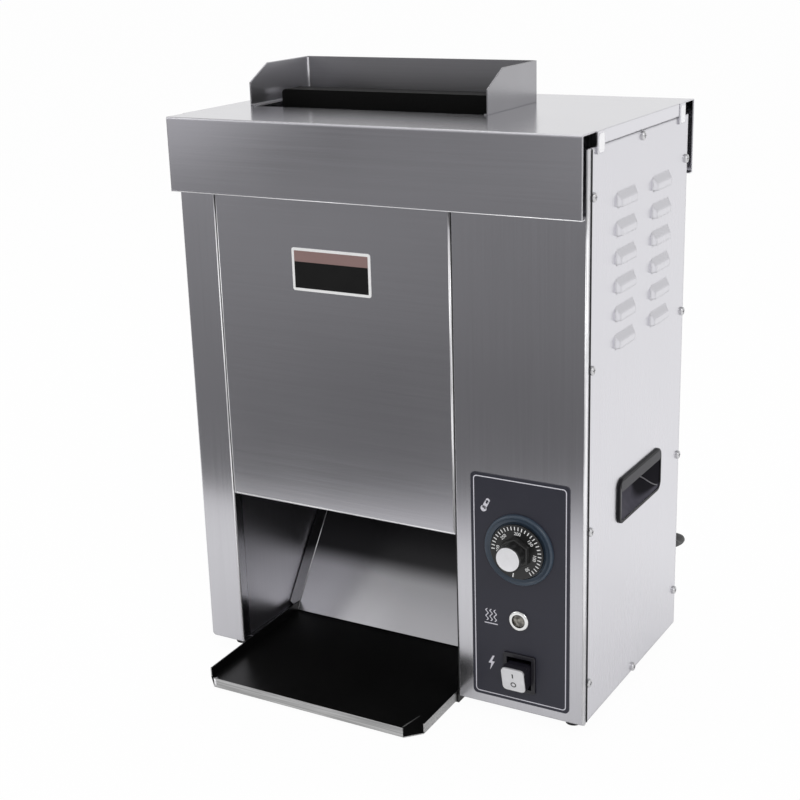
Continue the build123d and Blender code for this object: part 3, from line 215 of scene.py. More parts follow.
dark_patch = 0.15 * (board_x.between(-1.04, -0.92) - board_x.between(-0.88, -0.66))
light = far_shade + near_glow * (near_light - far_shade)
light = light + far_end * (left_patch + right_patch - dark_patch)
show(board, board.node("ShaderNodeEmission", None, {"Color": grey(1.0, 0.02), "Strength": light}))


def softbox(name, place, target, size, power):
    """A square area light aimed at a point."""
    lamp = bpy.data.lights.new(name, "AREA")
    lamp.shape, lamp.size, lamp.energy = "SQUARE", size, power
    added(name, lamp).matrix_world = aimed(place, Vector(place) - Vector(target))


middle = (0.0, 0.0, 0.3)
softbox("key_softbox", (2.2, -1.2, 2.2), middle, 1.4, 22.0)
softbox("top_softbox", (-0.4, 0.3, 2.8), middle, 1.8, 16.0)
softbox("fill_softbox", (-2.4, -1.6, 1.6), middle, 1.4, 9.0)


# ---- supply cord
# Round rubber-sheathed lead that leaves the back through a gland, drops to the counter and
# ends in a moulded plug. What isn't needed is wound into a flat coil behind the machine.
def material(name, paint, **fixed):
    """Principled material. fixed holds the values that are the same all over, and paint gives
    the sockets that vary, from a Tone and the object coordinates."""
    made = bpy.data.materials.new(name)
    made.use_nodes = True
    tree = made.node_tree
    shader = tree.nodes["Principled BSDF"]
    for socket, value in fixed.items():
        shader.inputs[socket.replace("_", " ")].default_value = value
    tone = Tone(tree)
    place = tone.node("ShaderNodeTexCoord", output="Object")
    for socket, value in paint(tone, place).items():
        tree.links.new(value.socket, shader.inputs[socket])
    return made


def noise(tone, place, scale, detail=3.0, stretch=(1.0, 1.0, 1.0)):
    """Noise of about the given number of features per metre, drawn out along some axes."""
    spread = tone.node("ShaderNodeMapping", None, {"Vector": place, "Scale": stretch})
    return tone.node("ShaderNodeTexNoise", None,
                     {"Vector": spread, "Scale": scale, "Detail": detail})


def eased(tone, radius):
    """The surface with its edges rounded off in shading, as folded or moulded edges are."""
    return tone.node("ShaderNodeBevel", {"samples": 4}, {"Radius": radius})


def bump(tone, height, strength, depth, under=None):
    """A relief in shading, over another one if given."""
    sockets = {"Strength": strength, "Distance": depth, "Height": height}
    if under:
        sockets["Normal"] = under
    return tone.node("ShaderNodeBump", None, sockets)


def dress(finish, *names):
    """Gives CAD nodes a material."""
    for name in names:
        nodes[name].data.materials.clear()
        nodes[name].data.materials.append(finish)


def moulded(dark, light, gloss, pebble):
    """Paint for moulded plastic or rubber: a faint cloud of tone over a spark-eroded grain."""
    def paint(tone, place):
        cloud = noise(tone, place, 60.0)
        grain = noise(tone, place, 1800.0, 2.0)
        return {
            "Base Color": cloud.blend(dark, light),
            "Roughness": gloss + 0.12 * cloud,
            "Normal": bump(tone, grain, pebble, 0.0002),
        }
    return paint


def plastic(name, dark, light, gloss, pebble, blue=0.0, **fixed):
    """A grey or black moulded finish."""
    paint = moulded(grey(dark, blue), grey(light, blue), gloss, pebble)
    return material(name, paint, **fixed)


def round_line(name, points, radius, finish, slot, **detail):
    """A round cord or bead along a smooth curve through the casing's frame."""
    line = bpy.data.curves.new(name, "CURVE")
    line.dimensions = "3D"
    line.bevel_depth = radius
    line.use_fill_caps = True
    for key, value in detail.items():
        setattr(line, key, value)
    spline = line.splines.new("NURBS")
    spline.points.add(len(points) - 1)
    for knot, point in zip(spline.points, points):
        knot.co = (*point, 1.0)
    spline.order_u = 3
    spline.use_endpoint_u = True
    line.materials.append(finish)
    made = added(name, line)
    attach(made, "casing")
    return made


rubber = plastic("rubber_sheath", 0.012, 0.024, 0.48, 0.25, Specular_IOR_Level=0.4)
rear_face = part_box("rear_panel")[1].y
cord_radius = 0.004
lead = [
    (0.183, 0.022, 0.095), (0.190, 0.043, 0.086), (0.181, 0.066, 0.071), (0.161, 0.085, 0.055),
    (0.138, 0.100, 0.038), (0.114, 0.112, 0.020), (0.090, 0.1185, 0.009), (0.066, 0.1215, 0.0043),
    (0.043, 0.1222, 0.0042),
]
tail = [(-0.008, 0.1226, 0.0124), (-0.033, 0.1204, 0.0132), (-0.057, 0.117, 0.014)]
coil_centre = Vector((0.020, 0.065))
coil_wide, coil_tight = 0.057, 0.037
coil_turns, points_per_turn = 5.0, 16
inner_end, climb_end = 2.5, 2.75
turns = []
for step in range(int(coil_turns * points_per_turn) + 1):
    travelled = step / points_per_turn
    wound_out = max(travelled - climb_end, 0.0) / (coil_turns - climb_end)
    inward = min(travelled / inner_end, 1.0) - wound_out
    radius = coil_wide + (coil_tight - coil_wide) * inward
    climb = min(max((travelled - inner_end) / (climb_end - inner_end), 0.0), 1.0)
    angle = math.pi / 2 + 2 * math.pi * travelled
    turns.append((coil_centre.x + radius * math.cos(angle),
                  coil_centre.y + radius * math.sin(angle), cord_radius * (1.05 + 2 * climb)))
points = [(x, rear_face + y, z) for x, y, z in lead + turns + tail]
supply_cord = round_line("supply_cord", points, cord_radius, rubber, "cord",
                         bevel_resolution=5, resolution_u=4)
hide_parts("power_cord", "cord_coil", "cord_tail")
dress(rubber, "cord_gland", "plug")


# ---- sheet steel
# The casing is folded from brushed stainless sheet. The brushing runs along the mill's rolling
# direction, across the front and down the columns.
steel_tint = 0.045
flat_bend = 0.0018


def brushed(shade, gloss, along, contrast=0.04, bend=0.0011):
    """Paint for brushed sheet: fine lines along one axis over slow clouds in the polish, with
    its edges and folds eased."""
    stretch = [1.0, 1.0, 1.0]
    stretch["xyz".index(along)] = 0.006

    def paint(tone, place):
        lines = noise(tone, place, 1300.0, 3.0, stretch)
        streaks = noise(tone, place, 220.0, 2.0, stretch)
        cloud = noise(tone, place, 9.0, 2.0)
        spread = 0.45 * lines + 0.2 * streaks + 0.35 * cloud
        return {
            "Base Color": spread.between(0.25, 0.75).blend(
                grey(shade * (1 - contrast), steel_tint), grey(shade * (1 + contrast), steel_tint)),
            "Roughness": gloss - 0.03 + 0.06 * lines + 0.05 * cloud,
            "Normal": bump(tone, lines, 0.04, 0.0002, eased(tone, bend)),
        }
    return paint


def metal(name, paint):
    """A bare metal finish."""
    return material(name, paint, Metallic=1.0)


front_brushing = brushed(0.56, 0.16, "x", bend=flat_bend)


def hood_finish(tone, place):
    """The front's brushing, with painted light on the short side flanges and painted shade on the
    top.
    """
    finish = front_brushing(tone, place)
    facing = tone.node("ShaderNodeNewGeometry", output="Normal")
    sideways = tone.math("ABSOLUTE", facing.part(0))
    # Painted shade on faces that look up, painted light on faces that look sideways.
    top_shade = facing.part(2).between(0.6, 0.9)
    flange_light = sideways.between(0.5, 0.8).blend(finish["Base Color"], grey(0.72, steel_tint))
    finish["Base Color"] = top_shade.blend(flange_light, grey(0.51, steel_tint))
    return finish


front_steel = metal("front_steel", front_brushing)
hood_steel = metal("hood_steel", hood_finish)
column_steel = metal("column_steel", brushed(0.57, 0.16, "z", bend=flat_bend))


def pressed(tone, place):
    """Brushed sheet drawn over soft press tools, with a painted highlight under its louvers' lips.
    """
    finish = brushed(0.70, 0.24, "z", 0.02, 0.0030)(tone, place)
    facing = tone.node("ShaderNodeNewGeometry", output="Normal")
    under = 0.0 - facing.part(2)
    # Painted highlight on the faces that look down under each lip.
    lip_highlight = under.between(0.05, 0.35) * (1.0 - under.between(0.90, 0.99))
    finish["Base Color"] = lip_highlight.blend(finish["Base Color"], grey(0.86, steel_tint))
    return finish


side_steel = metal("side_steel", pressed)
inner_steel = metal("inner_steel", brushed(0.37, 0.22, "z"))
wall_steel = metal("wall_steel", brushed(0.62, 0.28, "z"))
dress(front_steel, "front_panel")
dress(hood_steel, "hood")
dress(column_steel, "left_front_column", "control_column")
dress(side_steel, "left_side_panel", "right_side_panel", "rear_panel")
dress(inner_steel, "base_plate", "top_rails", "front_heat_shield", "rear_heat_shield",
      "platen_heaters")
dress(wall_steel, "left_inner_wall", "right_inner_wall")


# ---- fasteners and feet
# Zinc-plated pan head screws hold the side panels, and round rubber feet carry the casing.
# The brackets, pins, rollers, gears and chain inside are steel with the same plating.
def turned(shade, tint, gloss):
    """Paint for plated or machined metal: slight blotches and a fine tool grain."""
    def paint(tone, place):
        blotch = noise(tone, place, 90.0)
        grain = noise(tone, place, 1500.0, 2.0)
        return {
            "Base Color": blotch.blend(grey(shade * 0.88, tint), grey(shade * 1.1, tint)),
            "Roughness": gloss + 0.12 * blotch,
            "Normal": bump(tone, grain, 0.08, 0.0001),
        }
    return paint


plated = metal("zinc_plate", turned(0.62, 0.02, 0.22))
dress(plated, "screws", "oven_standoffs", "middle_gear_pins", "motor_bracket",
      "front_drive_roller", "front_idler_roller", "rear_drive_roller", "rear_idler_roller",
      "front_shaft_gear", "middle_gear_a", "middle_gear_b", "rear_shaft_gear", "shaft_sprocket",
      "motor_sprocket", "drive_chain", "thermostat_spindle", "sensor_capillary")
dress(rubber, "feet")


# ---- oven
# A cast aluminium platen under a sheet of coated glass cloth, two wire-mesh belts, sintered
# bronze bushes and a painted gear motor.
def woven(tone, place):
    weft = noise(tone, place, 700.0, 1.0, (1.0, 1.0, 0.2))
    warp = noise(tone, place, 700.0, 1.0, (0.2, 1.0, 1.0))
    return {
        "Base Color": (0.5 * (weft + warp)).blend(grey(0.003), grey(0.007)),
        "Roughness": 0.40 + 0.16 * warp,
        "Normal": bump(tone, weft + warp, 0.2, 0.0002),
    }


def mesh_wires(tone, place):
    """Rows of wire loops across the belt."""
    rows = tone.node("ShaderNodeTexWave", {"wave_type": "BANDS", "bands_direction": "Z"},
                     {"Vector": place, "Scale": 60.0, "Distortion": 0.4})
    loops = tone.node("ShaderNodeTexWave", {"wave_type": "BANDS", "bands_direction": "X"},
                      {"Vector": place, "Scale": 45.0, "Distortion": 0.6})
    wires = tone.math("MAXIMUM", rows, loops)
    return {
        "Base Color": wires.blend(grey(0.10), grey(0.50)),
        "Roughness": 0.5 - 0.2 * wires,
        "Normal": bump(tone, wires, 0.6, 0.0008),
    }


cast = metal("cast_aluminium", turned(0.58, 0.0, 0.38))
cloth = material("coated_cloth", woven, Specular_IOR_Level=0.06)
belt_wire = metal("belt_wire", mesh_wires)
bronze = metal("sintered_bronze", turned(0.42, -0.38, 0.34))
motor_paint = plastic("motor_paint", 0.035, 0.055, 0.42, 0.12, 0.05)
ceramic = plastic("ceramic", 0.60, 0.70, 0.5, 0.1, -0.08)
dress(cast, "platen")
dress(cloth, "release_sheet")
dress(belt_wire, "front_belt", "rear_belt")
dress(bronze, "roller_bushes")
dress(motor_paint, "gear_motor")
dress(ceramic, "thermostat_body", "terminal_block")


# ---- landing tray
# Thin steel pan, coated black and non-stick inside and left brushed outside, on moulded rails.
# The front rim's left end is rolled round and carries a painted highlight, and a painted
# highlight runs back along a crease from the rim's right end.
def piece(name, shape, finish, body, smooth=False):
    """Turns a finished bmesh into a piece of the toaster, riding on a body."""
    made = added(name, bpy.data.meshes.new(name))
    shape.normal_update()
    shape.to_mesh(made.data)
    shape.free()
    made.data.materials.append(finish)
    for face in made.data.polygons:
        face.use_smooth = smooth
    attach(made, body)
    return made


def add_round(shape, place, depth, segments, radius, top_radius=None):
    """Adds a closed cylinder, or a cone cut short, along its place's Z."""
    bmesh.ops.create_cone(shape, cap_ends=True, segments=segments, radius1=radius,
                          radius2=top_radius or radius, depth=depth, matrix=place)


def add_rod(shape, start, end, radius, segments=16):
    """Adds a round bar between two points."""
    start, end = Vector(start), Vector(end)
    run = end - start
    add_round(shape, aimed((start + end) / 2, run), run.length, segments, radius)


def rod_piece(name, start, end, radius, finish, body, segments=16):
    """A round bar that is a piece of its own."""
    rod = bmesh.new()
    add_rod(rod, start, end, radius, segments)
    piece(name, rod, finish, body, smooth=True)


def middle_of(name):
    """The middle of a CAD node's box."""
    low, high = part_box(name)
    return (low + high) / 2


def tray_finish(tone, place):
    """Black on the faces that look up or inwards, bare steel on the outside."""
    facing = tone.node("ShaderNodeNewGeometry", output="Normal")
    side, front, up = (facing.part(axis) for axis in range(3))
    outwards = (place.part(0) - middle_of("tray").x) * side
    bare = tone.math("MAXIMUM", outwards.between(0.0, 0.002), (0.0 - front).between(0.4, 0.6))
    bare = tone.math("MAXIMUM", bare, (0.0 - up).between(0.2, 0.6))
    lines = noise(tone, place, 900.0, 3.0, (0.02, 1.0, 1.0))
    haze = noise(tone, place, 14.0, 2.0)
    steel = lines.between(0.3, 0.7).blend(grey(0.34), grey(0.54))
    return {
        "Base Color": bare.blend(haze.blend(grey(0.002), grey(0.004)), steel),
        "Metallic": bare,
        "Roughness": 0.30 + 0.06 * haze,
        "Normal": bump(tone, lines, 0.05, 0.0002),
    }


tray_metal = material("coated_pan", tray_finish, Specular_IOR_Level=0.36)
runner_plastic = plastic("runner_plastic", 0.014, 0.026, 0.4, 0.15)
dress(tray_metal, "tray")
dress(runner_plastic, "tray_runners")
# A lighter grey for a painted highlight along the tray's crease.
crease_highlight = plastic("crease_highlight", 0.05, 0.09, 0.4, 0.1)
# Near-white metal for painted highlights: the tray's rim end and the front's folds, hem and tabs.
edge_highlight = material("painted_edge_highlight", turned(0.94, 0.02, 0.14), Metallic=0.55)
rim_left, rim_right = -0.1440, 0.0605
rim_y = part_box("tray")[0].y
roll_x, roll_radius, crease_radius = rim_left + 0.0016, 0.0021, 0.0006
rod_piece("tray_rim_end", (roll_x, rim_y + 0.0020, 0.0050), (roll_x, rim_y + 0.0018, 0.0119),
          roll_radius, edge_highlight, "tray_body")
rod_piece("tray_crease", (rim_right - 0.0080, rim_y + 0.0140, 0.00455),
          (rim_right - 0.0033, rim_y + 0.0366, 0.00534), crease_radius, crease_highlight,
          "tray_body", 10)


# ---- grips
# One-piece moulded pockets, pressed into the side panels. The scoop is a smooth bowl with a
# rib down its hollow, and the band above it, where the fingers curl under, is spark-textured.
def add_slab(shape, low, high, place=Matrix.Identity(4)):
    """Adds a box between two corners, both measured from a place."""
    low, high = Vector(low), Vector(high)
    span = Matrix.Translation((low + high) / 2) @ Matrix.Diagonal((*(high - low), 1.0))
    return bmesh.ops.create_cube(shape, size=1.0, matrix=place @ span)["verts"]


def add_plate(shape, centre, width, height, corner, depth, segments=6):
    """Adds a plate square to Y with rounded corners. depth is (front y, back y)."""
    half = Vector((width / 2, 0, height / 2))
    middle_y = sum(depth) / 2
    low = Vector((centre[0], depth[0], centre[1])) - half
    high = Vector((centre[0], depth[1], centre[1])) + half
    verts = add_slab(shape, low, high)
    edges = {edge for vert in verts for edge in vert.link_edges
             if abs(edge.verts[0].co.y - edge.verts[1].co.y) > abs(depth[1] - middle_y)}
    bmesh.ops.bevel(shape, geom=list(edges), offset=corner, offset_type="OFFSET",
                    segments=segments, profile=0.5, affect="EDGES", material=-1)


def soften(made, width, segments):
    """Rounds a finished piece's sharp edges."""
    rounding = made.modifiers.new("softened", "BEVEL")
    rounding.width, rounding.segments = width, segments


def placed(point, turn, axis):
    """A turn about one axis, then a move to a point."""
    return Matrix.Translation(point) @ Matrix.Rotation(turn, 4, axis)


grip_plastic = plastic("grip_plastic", 0.004, 0.007, 0.32, 0.2, 0.3, Specular_IOR_Level=0.16)
grip_texture = plastic("grip_texture", 0.040, 0.085, 0.5, 1.0, 0.08, Specular_IOR_Level=0.3)
# A lighter plastic for painted highlights on the grip's rib and edge lines.
grip_highlight = plastic("grip_highlight", 0.16, 0.22, 0.36, 0.1, 0.06)
grip_low, grip_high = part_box("right_handle")
grip_middle = middle_of("right_handle")
grip_length, grip_height = grip_high.y - grip_low.y, grip_high.z - grip_low.z
rim_width, rim_depth, rim_corner = 0.0030, 0.0024, 0.009
mouth_length, mouth_low = grip_length - 0.0054, grip_low.z + 0.0028
mouth_front = grip_middle.y - mouth_length / 2
lip_low = grip_high.z - 0.0115
mouth_height = lip_low - mouth_low
mouth_face = grip_high.x - 0.0010
bowl_depth = 0.0140
end_slope = 0.34
hollow_lean = (2.67, -1.10)
hollow_start = (0.2, 0.05)
roof_start, roof_climb = 0.78, 0.034
band_inset, band_corner, band_depth = 0.0022, 0.0022, (-0.0003, 0.0045)
rib_radius, edge_radius, lip_radius = 0.00055, 0.0005, 0.0004


def bowl_finish(tone, place):
    """Painted light in grey on the front and the floor of the bowl, and painted shade in matt
    black in the hollow behind, which leans back and down from the mouth."""
    across = tone.math("ABSOLUTE", place.part(0))
    inwards = mouth_face - across
    along = place.part(1) - hollow_lean[0] * inwards - mouth_front
    up = place.part(2) - hollow_lean[1] * inwards - mouth_low
    # The hollow's mask marks where the painted shade lies.
    hollow = (along - hollow_start[0] * mouth_length) * (up - hollow_start[1] * mouth_height)
    size = mouth_length * mouth_height
    hollow_shade = hollow.between(0.022 * size, 0.115 * size)
    grain = noise(tone, place, 900.0, 2.0)
    scoop_light = noise(tone, place, 120.0, 2.0).blend(grey(0.042, 0.3), grey(0.088, 0.22))
    return {
        "Base Color": hollow_shade.blend(scoop_light, grey(0.009, 0.3)),
        "Roughness": 0.55 + 0.25 * hollow_shade,
        "Normal": bump(tone, grain, 0.15, 0.0002),
    }


def bowl_hollow(along, rise):
    """Depth of the bowl at a share of its length and of its height."""
    end = min(1.0, max(0.0, min(along, 1.0 - along)) / end_slope)
    lift = min(1.0, max(0.0, rise))
    return bowl_depth * math.sin(end * math.pi / 2) * math.sin(lift * math.pi / 2) ** 0.9


bowl_plastic = material("bowl_plastic", bowl_finish, Specular_IOR_Level=0.12)
rib_course = ((0.47, 1.0), (0.56, 0.84), (0.68, 0.58), (0.79, 0.36), (0.87, 0.22), (0.93, 0.14))
rib_line = []
for along, rise in rib_course:
    depth = 0.0
    while depth < bowl_hollow(along + hollow_lean[0] * depth / mouth_length,
                              rise + hollow_lean[1] * depth / mouth_height):
        depth += 0.0001
    rib_line.append((mouth_face - depth + 0.0004,
                     mouth_front + along * mouth_length + hollow_lean[0] * depth,
                     mouth_low + rise * mouth_height + hollow_lean[1] * depth))
for side, word in ((1, "right"), (-1, "left")):
    bowl = bmesh.new()
    bmesh.ops.create_grid(bowl, x_segments=44, y_segments=22, size=0.5)
    for vert in bowl.verts:
        along, up = vert.co.x + 0.5, vert.co.y + 0.5
        rise = min(1.0, up / roof_start)
        height = mouth_low + mouth_height * rise + max(0.0, up - roof_start) * roof_climb
        inside = mouth_face - bowl_hollow(along, rise)
        vert.co = (side * inside, mouth_front + along * mouth_length, height)
    bmesh.ops.recalc_face_normals(bowl, faces=bowl.faces)
    if sum(face.normal.x for face in bowl.faces) * side < 0:
        bmesh.ops.reverse_faces(bowl, faces=bowl.faces)
    piece(word + "_grip_bowl", bowl, bowl_plastic, "casing", smooth=True)

    face_out = placed((side * grip_high.x, grip_middle.y, 0.0), side * math.pi / 2, "Z")
    rim = bmesh.new()
    add_plate(rim, (0.0, grip_middle.z), grip_length, grip_height, rim_corner, (0.0, rim_depth), 10)
    front = min(rim.faces, key=lambda f: f.calc_center_median().y)
    back = max(rim.faces, key=lambda f: f.calc_center_median().y)
    bmesh.ops.inset_region(rim, faces=[front], thickness=rim_width, use_even_offset=True)
    bmesh.ops.delete(rim, geom=[front, back], context="FACES_ONLY")
    rim.transform(face_out)
    rim_piece = piece(word + "_grip_rim", rim, grip_plastic, "casing")
    soften(rim_piece, 0.0009, 3)
    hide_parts(word + "_handle")

    band = bmesh.new()
    add_plate(band, (0.0, (lip_low + grip_high.z - band_inset) / 2), mouth_length - 0.002,
              grip_high.z - lip_low - band_inset, band_corner, band_depth)
    band.transform(face_out)
    piece(word + "_grip_band", band, grip_texture, "casing")

    # The rib and the edge lines below carry painted highlights in the lighter plastic.
    round_line(word + "_grip_rib", [(side * x, y, z) for x, y, z in rib_line], rib_radius,
               grip_highlight, "black_plastic")

    lines = bmesh.new()
    edge_x = side * (grip_high.x - 0.0002)
    line_y, line_z = mouth_front + 0.0008, lip_low + 0.0001
    add_rod(lines, (edge_x, line_y, mouth_low + 0.004), (edge_x, line_y, grip_high.z - 0.008),
            edge_radius)
    add_rod(lines, (edge_x, mouth_front + 0.46 * mouth_length, line_z),
            (edge_x, mouth_front + mouth_length - 0.003, line_z), lip_radius)
    piece(word + "_grip_lines", lines, grip_highlight, "casing", smooth=True)


# ---- discharge chute
# Polished plate that leans back under the belts, with strips folded out at its ends until they
# nearly meet the oven walls, so that no crumb slips past, and a hook over the rear shield.
def chute_finish(tone, place):
    """Fine brushing on a plate bowed in shading only, with painted light towards its foot,
    painted shade towards its right and dark painted shade towards its top.
    """
    lines = noise(tone, place, 1300.0, 3.0, (0.006, 1.0, 1.0))
    cloud = noise(tone, place, 11.0, 2.0)
    up = place.part(2)
    # Painted shade near the top, painted light at the foot and painted shade to the right.
    upper_shade = up.between(0.050, 0.070)
    foot = 1.0 - up.between(0.012, 0.060)
    right = place.part(0).between(-0.14, -0.03)
    slope_shade_tone = right.blend(grey(0.48, 0.04), grey(0.29, 0.04))
    foot_light_tone = right.blend(grey(0.64, 0.04), grey(0.39, 0.04))
    bowed = bump(tone, up * chute_bow, 1.0, 1.0)
    return {
        "Base Color": upper_shade.blend(foot.blend(slope_shade_tone, foot_light_tone), grey(0.03, 0.04)),
        "Roughness": 0.20 + 0.05 * lines + 0.06 * cloud,
        "Normal": bump(tone, lines, 0.04, 0.0002, bowed),
    }


chute_low, chute_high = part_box("deflector")
slope, bow_angle = math.radians(36.4), math.radians(6.4)
chute_bow = math.tan(bow_angle) / math.cos(slope)
chute_steel = metal("chute_steel", chute_finish)
# Near-white metal for a painted highlight along each of the chute's folds.
fold_highlight = material("painted_fold_highlight", turned(0.90, 0.02, 0.16), Metallic=0.7)
chute_foot = Vector((0.0, 0.005152, chute_low.z))
chute_length = (chute_high.z - chute_foot.z) / math.cos(slope)
chute_sheet = 0.0009
strip_rise, strip_ease = 0.0085, 0.006
left_gap, right_gap = 0.0014, 0.0010
fold_radius, fold_lift = 0.0006, 0.0001


def on_chute(x, run, rise=0.0):
    """A point of the chute: across, up its slope, and off its face."""
    return Vector((x, chute_foot.y + run * math.sin(slope) - rise * math.cos(slope),
                   chute_foot.z + run * math.cos(slope) + rise * math.sin(slope)))


chute = bmesh.new()
foot_left, foot_right, head_right, head_left = (
    chute.verts.new(on_chute(x, run))
    for x, run in ((chute_low.x, 0), (chute_high.x, 0),
                   (chute_high.x, chute_length), (chute_low.x, chute_length)))
chute.faces.new((foot_left, foot_right, head_right, head_left))
for foot, head, tip_x in ((foot_left, head_left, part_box("left_inner_wall")[1].x + left_gap),
                          (foot_right, head_right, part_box("right_inner_wall")[0].x - right_gap)):
    folded = bmesh.ops.extrude_edge_only(chute, edges=[chute.edges.get((foot, head))])["geom"]
    for vert in (item for item in folded if isinstance(item, bmesh.types.BMVert)):
        at_foot = vert.co.z < middle_of("deflector").z
        vert.co = on_chute(tip_x, strip_ease if at_foot else chute_length - strip_ease, strip_rise)
head_edge = chute.edges.get((head_left, head_right))
hooked = bmesh.ops.extrude_edge_only(chute, edges=[head_edge])["geom"]
for vert in (item for item in hooked if isinstance(item, bmesh.types.BMVert)):
    vert.co.y = chute_high.y
bmesh.ops.solidify(chute, geom=chute.faces[:], thickness=chute_sheet)
bmesh.ops.recalc_face_normals(chute, faces=chute.faces)
chute_plate = piece("chute_plate", chute, chute_steel, "casing")
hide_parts("deflector")
for fold_x, word in ((chute_low.x, "left"), (chute_high.x, "right")):
    rod_piece(word + "_chute_fold", on_chute(fold_x, 0.001, fold_lift),
              on_chute(fold_x, chute_length - 0.002, fold_lift), fold_radius, fold_highlight,
              "casing")


# ---- folded edges
# Where the front sheets turn back into the casing, bright rods give the rounded folds a painted
# highlight. Dark rods lie in the seams behind as painted shadow, and the hood's hem and its four
# tabs carry painted highlights too.
panel_low, panel_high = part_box("front_panel")
column_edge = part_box("left_front_column")[1].x
control_low, control_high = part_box("control_column")
hood_low, hood_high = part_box("hood")
bend, small_bend, proud = 0.0015, 0.0010, 0.00015
small_y, small_z = panel_low.y + small_bend, panel_low.z + small_bend
# Bright rods along the folds: painted highlights.
edges = bmesh.new()
for edge_x, edge_bend, foot_z, head_z, swell in (
        (panel_high.x - bend, bend, panel_low.z + bend, hood_low.z, proud),
        (panel_low.x + small_bend, small_bend, small_z, hood_low.z, proud / 3),
        (column_edge - small_bend, small_bend, control_low.z, hood_low.z, proud),
        (control_high.x - bend, bend, control_low.z, control_high.z - 0.001, proud)):
    edge_y = panel_low.y + edge_bend
    add_rod(edges, (edge_x, edge_y, foot_z), (edge_x, edge_y, head_z), edge_bend + swell)
add_rod(edges, (panel_low.x + small_bend, small_y, small_z),
        (panel_high.x - small_bend, small_y, small_z), small_bend + proud)
piece("front_edges", edges, edge_highlight, "casing", smooth=True)
# Dark rods in the cord's rubber lie in the seams as painted shadow.
seam_shadows = bmesh.new()
seam_shadow_radius = 0.0006
seam_shadow_y, side_seam_y = panel_low.y + 0.0005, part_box("right_side_panel")[0].y - seam_shadow_radius
side_seam_x = control_high.x + 0.0001
seam_shadow_foot, seam_shadow_head = control_low.z + 0.001, control_high.z - 0.001
for seam_x, seam_y, foot_z, head_z in (
        (panel_high.x + seam_shadow_radius, seam_shadow_y, seam_shadow_foot, hood_low.z),
        ((panel_low.x + column_edge) / 2, seam_shadow_y, panel_low.z + 0.002, hood_low.z),
        (side_seam_x, side_seam_y, seam_shadow_foot, seam_shadow_head),
        (-side_seam_x, side_seam_y, seam_shadow_foot, seam_shadow_head)):
    add_rod(seam_shadows, (seam_x, seam_y, foot_z), (seam_x, seam_y, head_z), seam_shadow_radius, 12)
piece("painted_seam_shadows", seam_shadows, rubber, "casing", smooth=True)
# Bright rods along the hood's hem and bright plates for its tabs: painted highlights.
hood_hem = bmesh.new()
hem_inset, hem_radius = 0.0004, 0.0005
hem_z = hood_low.z + hem_inset
for hem_y in (hood_low.y + hem_inset, hood_high.y - hem_inset):
    add_rod(hood_hem, (hood_low.x + 0.002, hem_y, hem_z), (hood_high.x - 0.002, hem_y, hem_z),
            hem_radius)
piece("hood_hem", hood_hem, edge_highlight, "casing", smooth=True)
tabs = bmesh.new()
tab_width, tab_drop, tab_inset, tab_margin = 0.014, 0.018, 0.014, 0.0015
tab_corner, tab_depth, tab_z = 0.0025, (-0.0004, 0.0002), hood_high.z - tab_drop / 2 - 0.0006
tab_middle = tab_inset + tab_width / 2
for side in (1, -1):
    for tab_y in (panel_low.y + tab_middle, rear_face - tab_middle):
        kept = len(tabs.verts)
        add_plate(tabs, (0.0, tab_z), tab_width - 2 * tab_margin, tab_drop - 2 * tab_margin,
                  tab_corner, tab_depth)
        tabs.verts.ensure_lookup_table()
        turn_out = placed((side * hood_high.x, tab_y, 0.0), side * math.pi / 2, "Z")
        bmesh.ops.transform(tabs, matrix=turn_out, verts=tabs.verts[kept:])
piece("hood_tabs", tabs, edge_highlight, "casing")


# ---- feed guard
# Sheet folded round three sides of the feed opening. Its back is rougher inside and darker
# there by painted shade, and its inner corners are closed by a ground and polished weld.
def guard_finish(tone, place):
    """Bright sheet, with painted shade on the rougher faces that look forwards and painted
    light inside its left wing.
    """
    facing = tone.node("ShaderNodeNewGeometry", output="Normal")
    sideways = facing.part(0)
    forwards = 0.0 - facing.part(1)
    left_half = 1.0 - place.part(0).between(-0.10, 0.0)
    # Painted shade on faces that look forwards, painted light inside the left wing.
    forward_shade = forwards.between(0.4, 0.6)
    left_inside_light = sideways.between(0.4, 0.6) * left_half
    lines = noise(tone, place, 1300.0, 3.0, (0.006, 0.006, 1.0))
    cloud = noise(tone, place, 16.0, 2.0)
    sheet = left_inside_light.blend(cloud.blend(grey(0.33, 0.04), grey(0.39, 0.04)), grey(0.80, 0.04))
    return {
        "Base Color": forward_shade.blend(sheet, lines.blend(grey(0.19, 0.04), grey(0.23, 0.04))),
        "Roughness": 0.18 + 0.20 * forward_shade + 0.10 * left_inside_light + 0.05 * lines,
        "Normal": bump(tone, lines, 0.05, 0.0002, eased(tone, 0.0011)),
    }


guard_steel = metal("guard_steel", guard_finish)
dress(guard_steel, "feed_guard")
weld_metal = material("polished_weld", turned(0.80, 0.02, 0.30), Metallic=0.35)
guard_low, guard_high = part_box("feed_guard")
weld_inset, weld_radius = 0.0012, 0.0009
weld_y = guard_high.y - weld_inset
for word, weld_x in (("left", guard_low.x + weld_inset), ("right", guard_high.x - weld_inset)):
    rod_piece("guard_weld_" + word, (weld_x, weld_y, hood_high.z + 0.001),
              (weld_x, weld_y, guard_high.z - 0.001), weld_radius, weld_metal,
              "casing", 20)


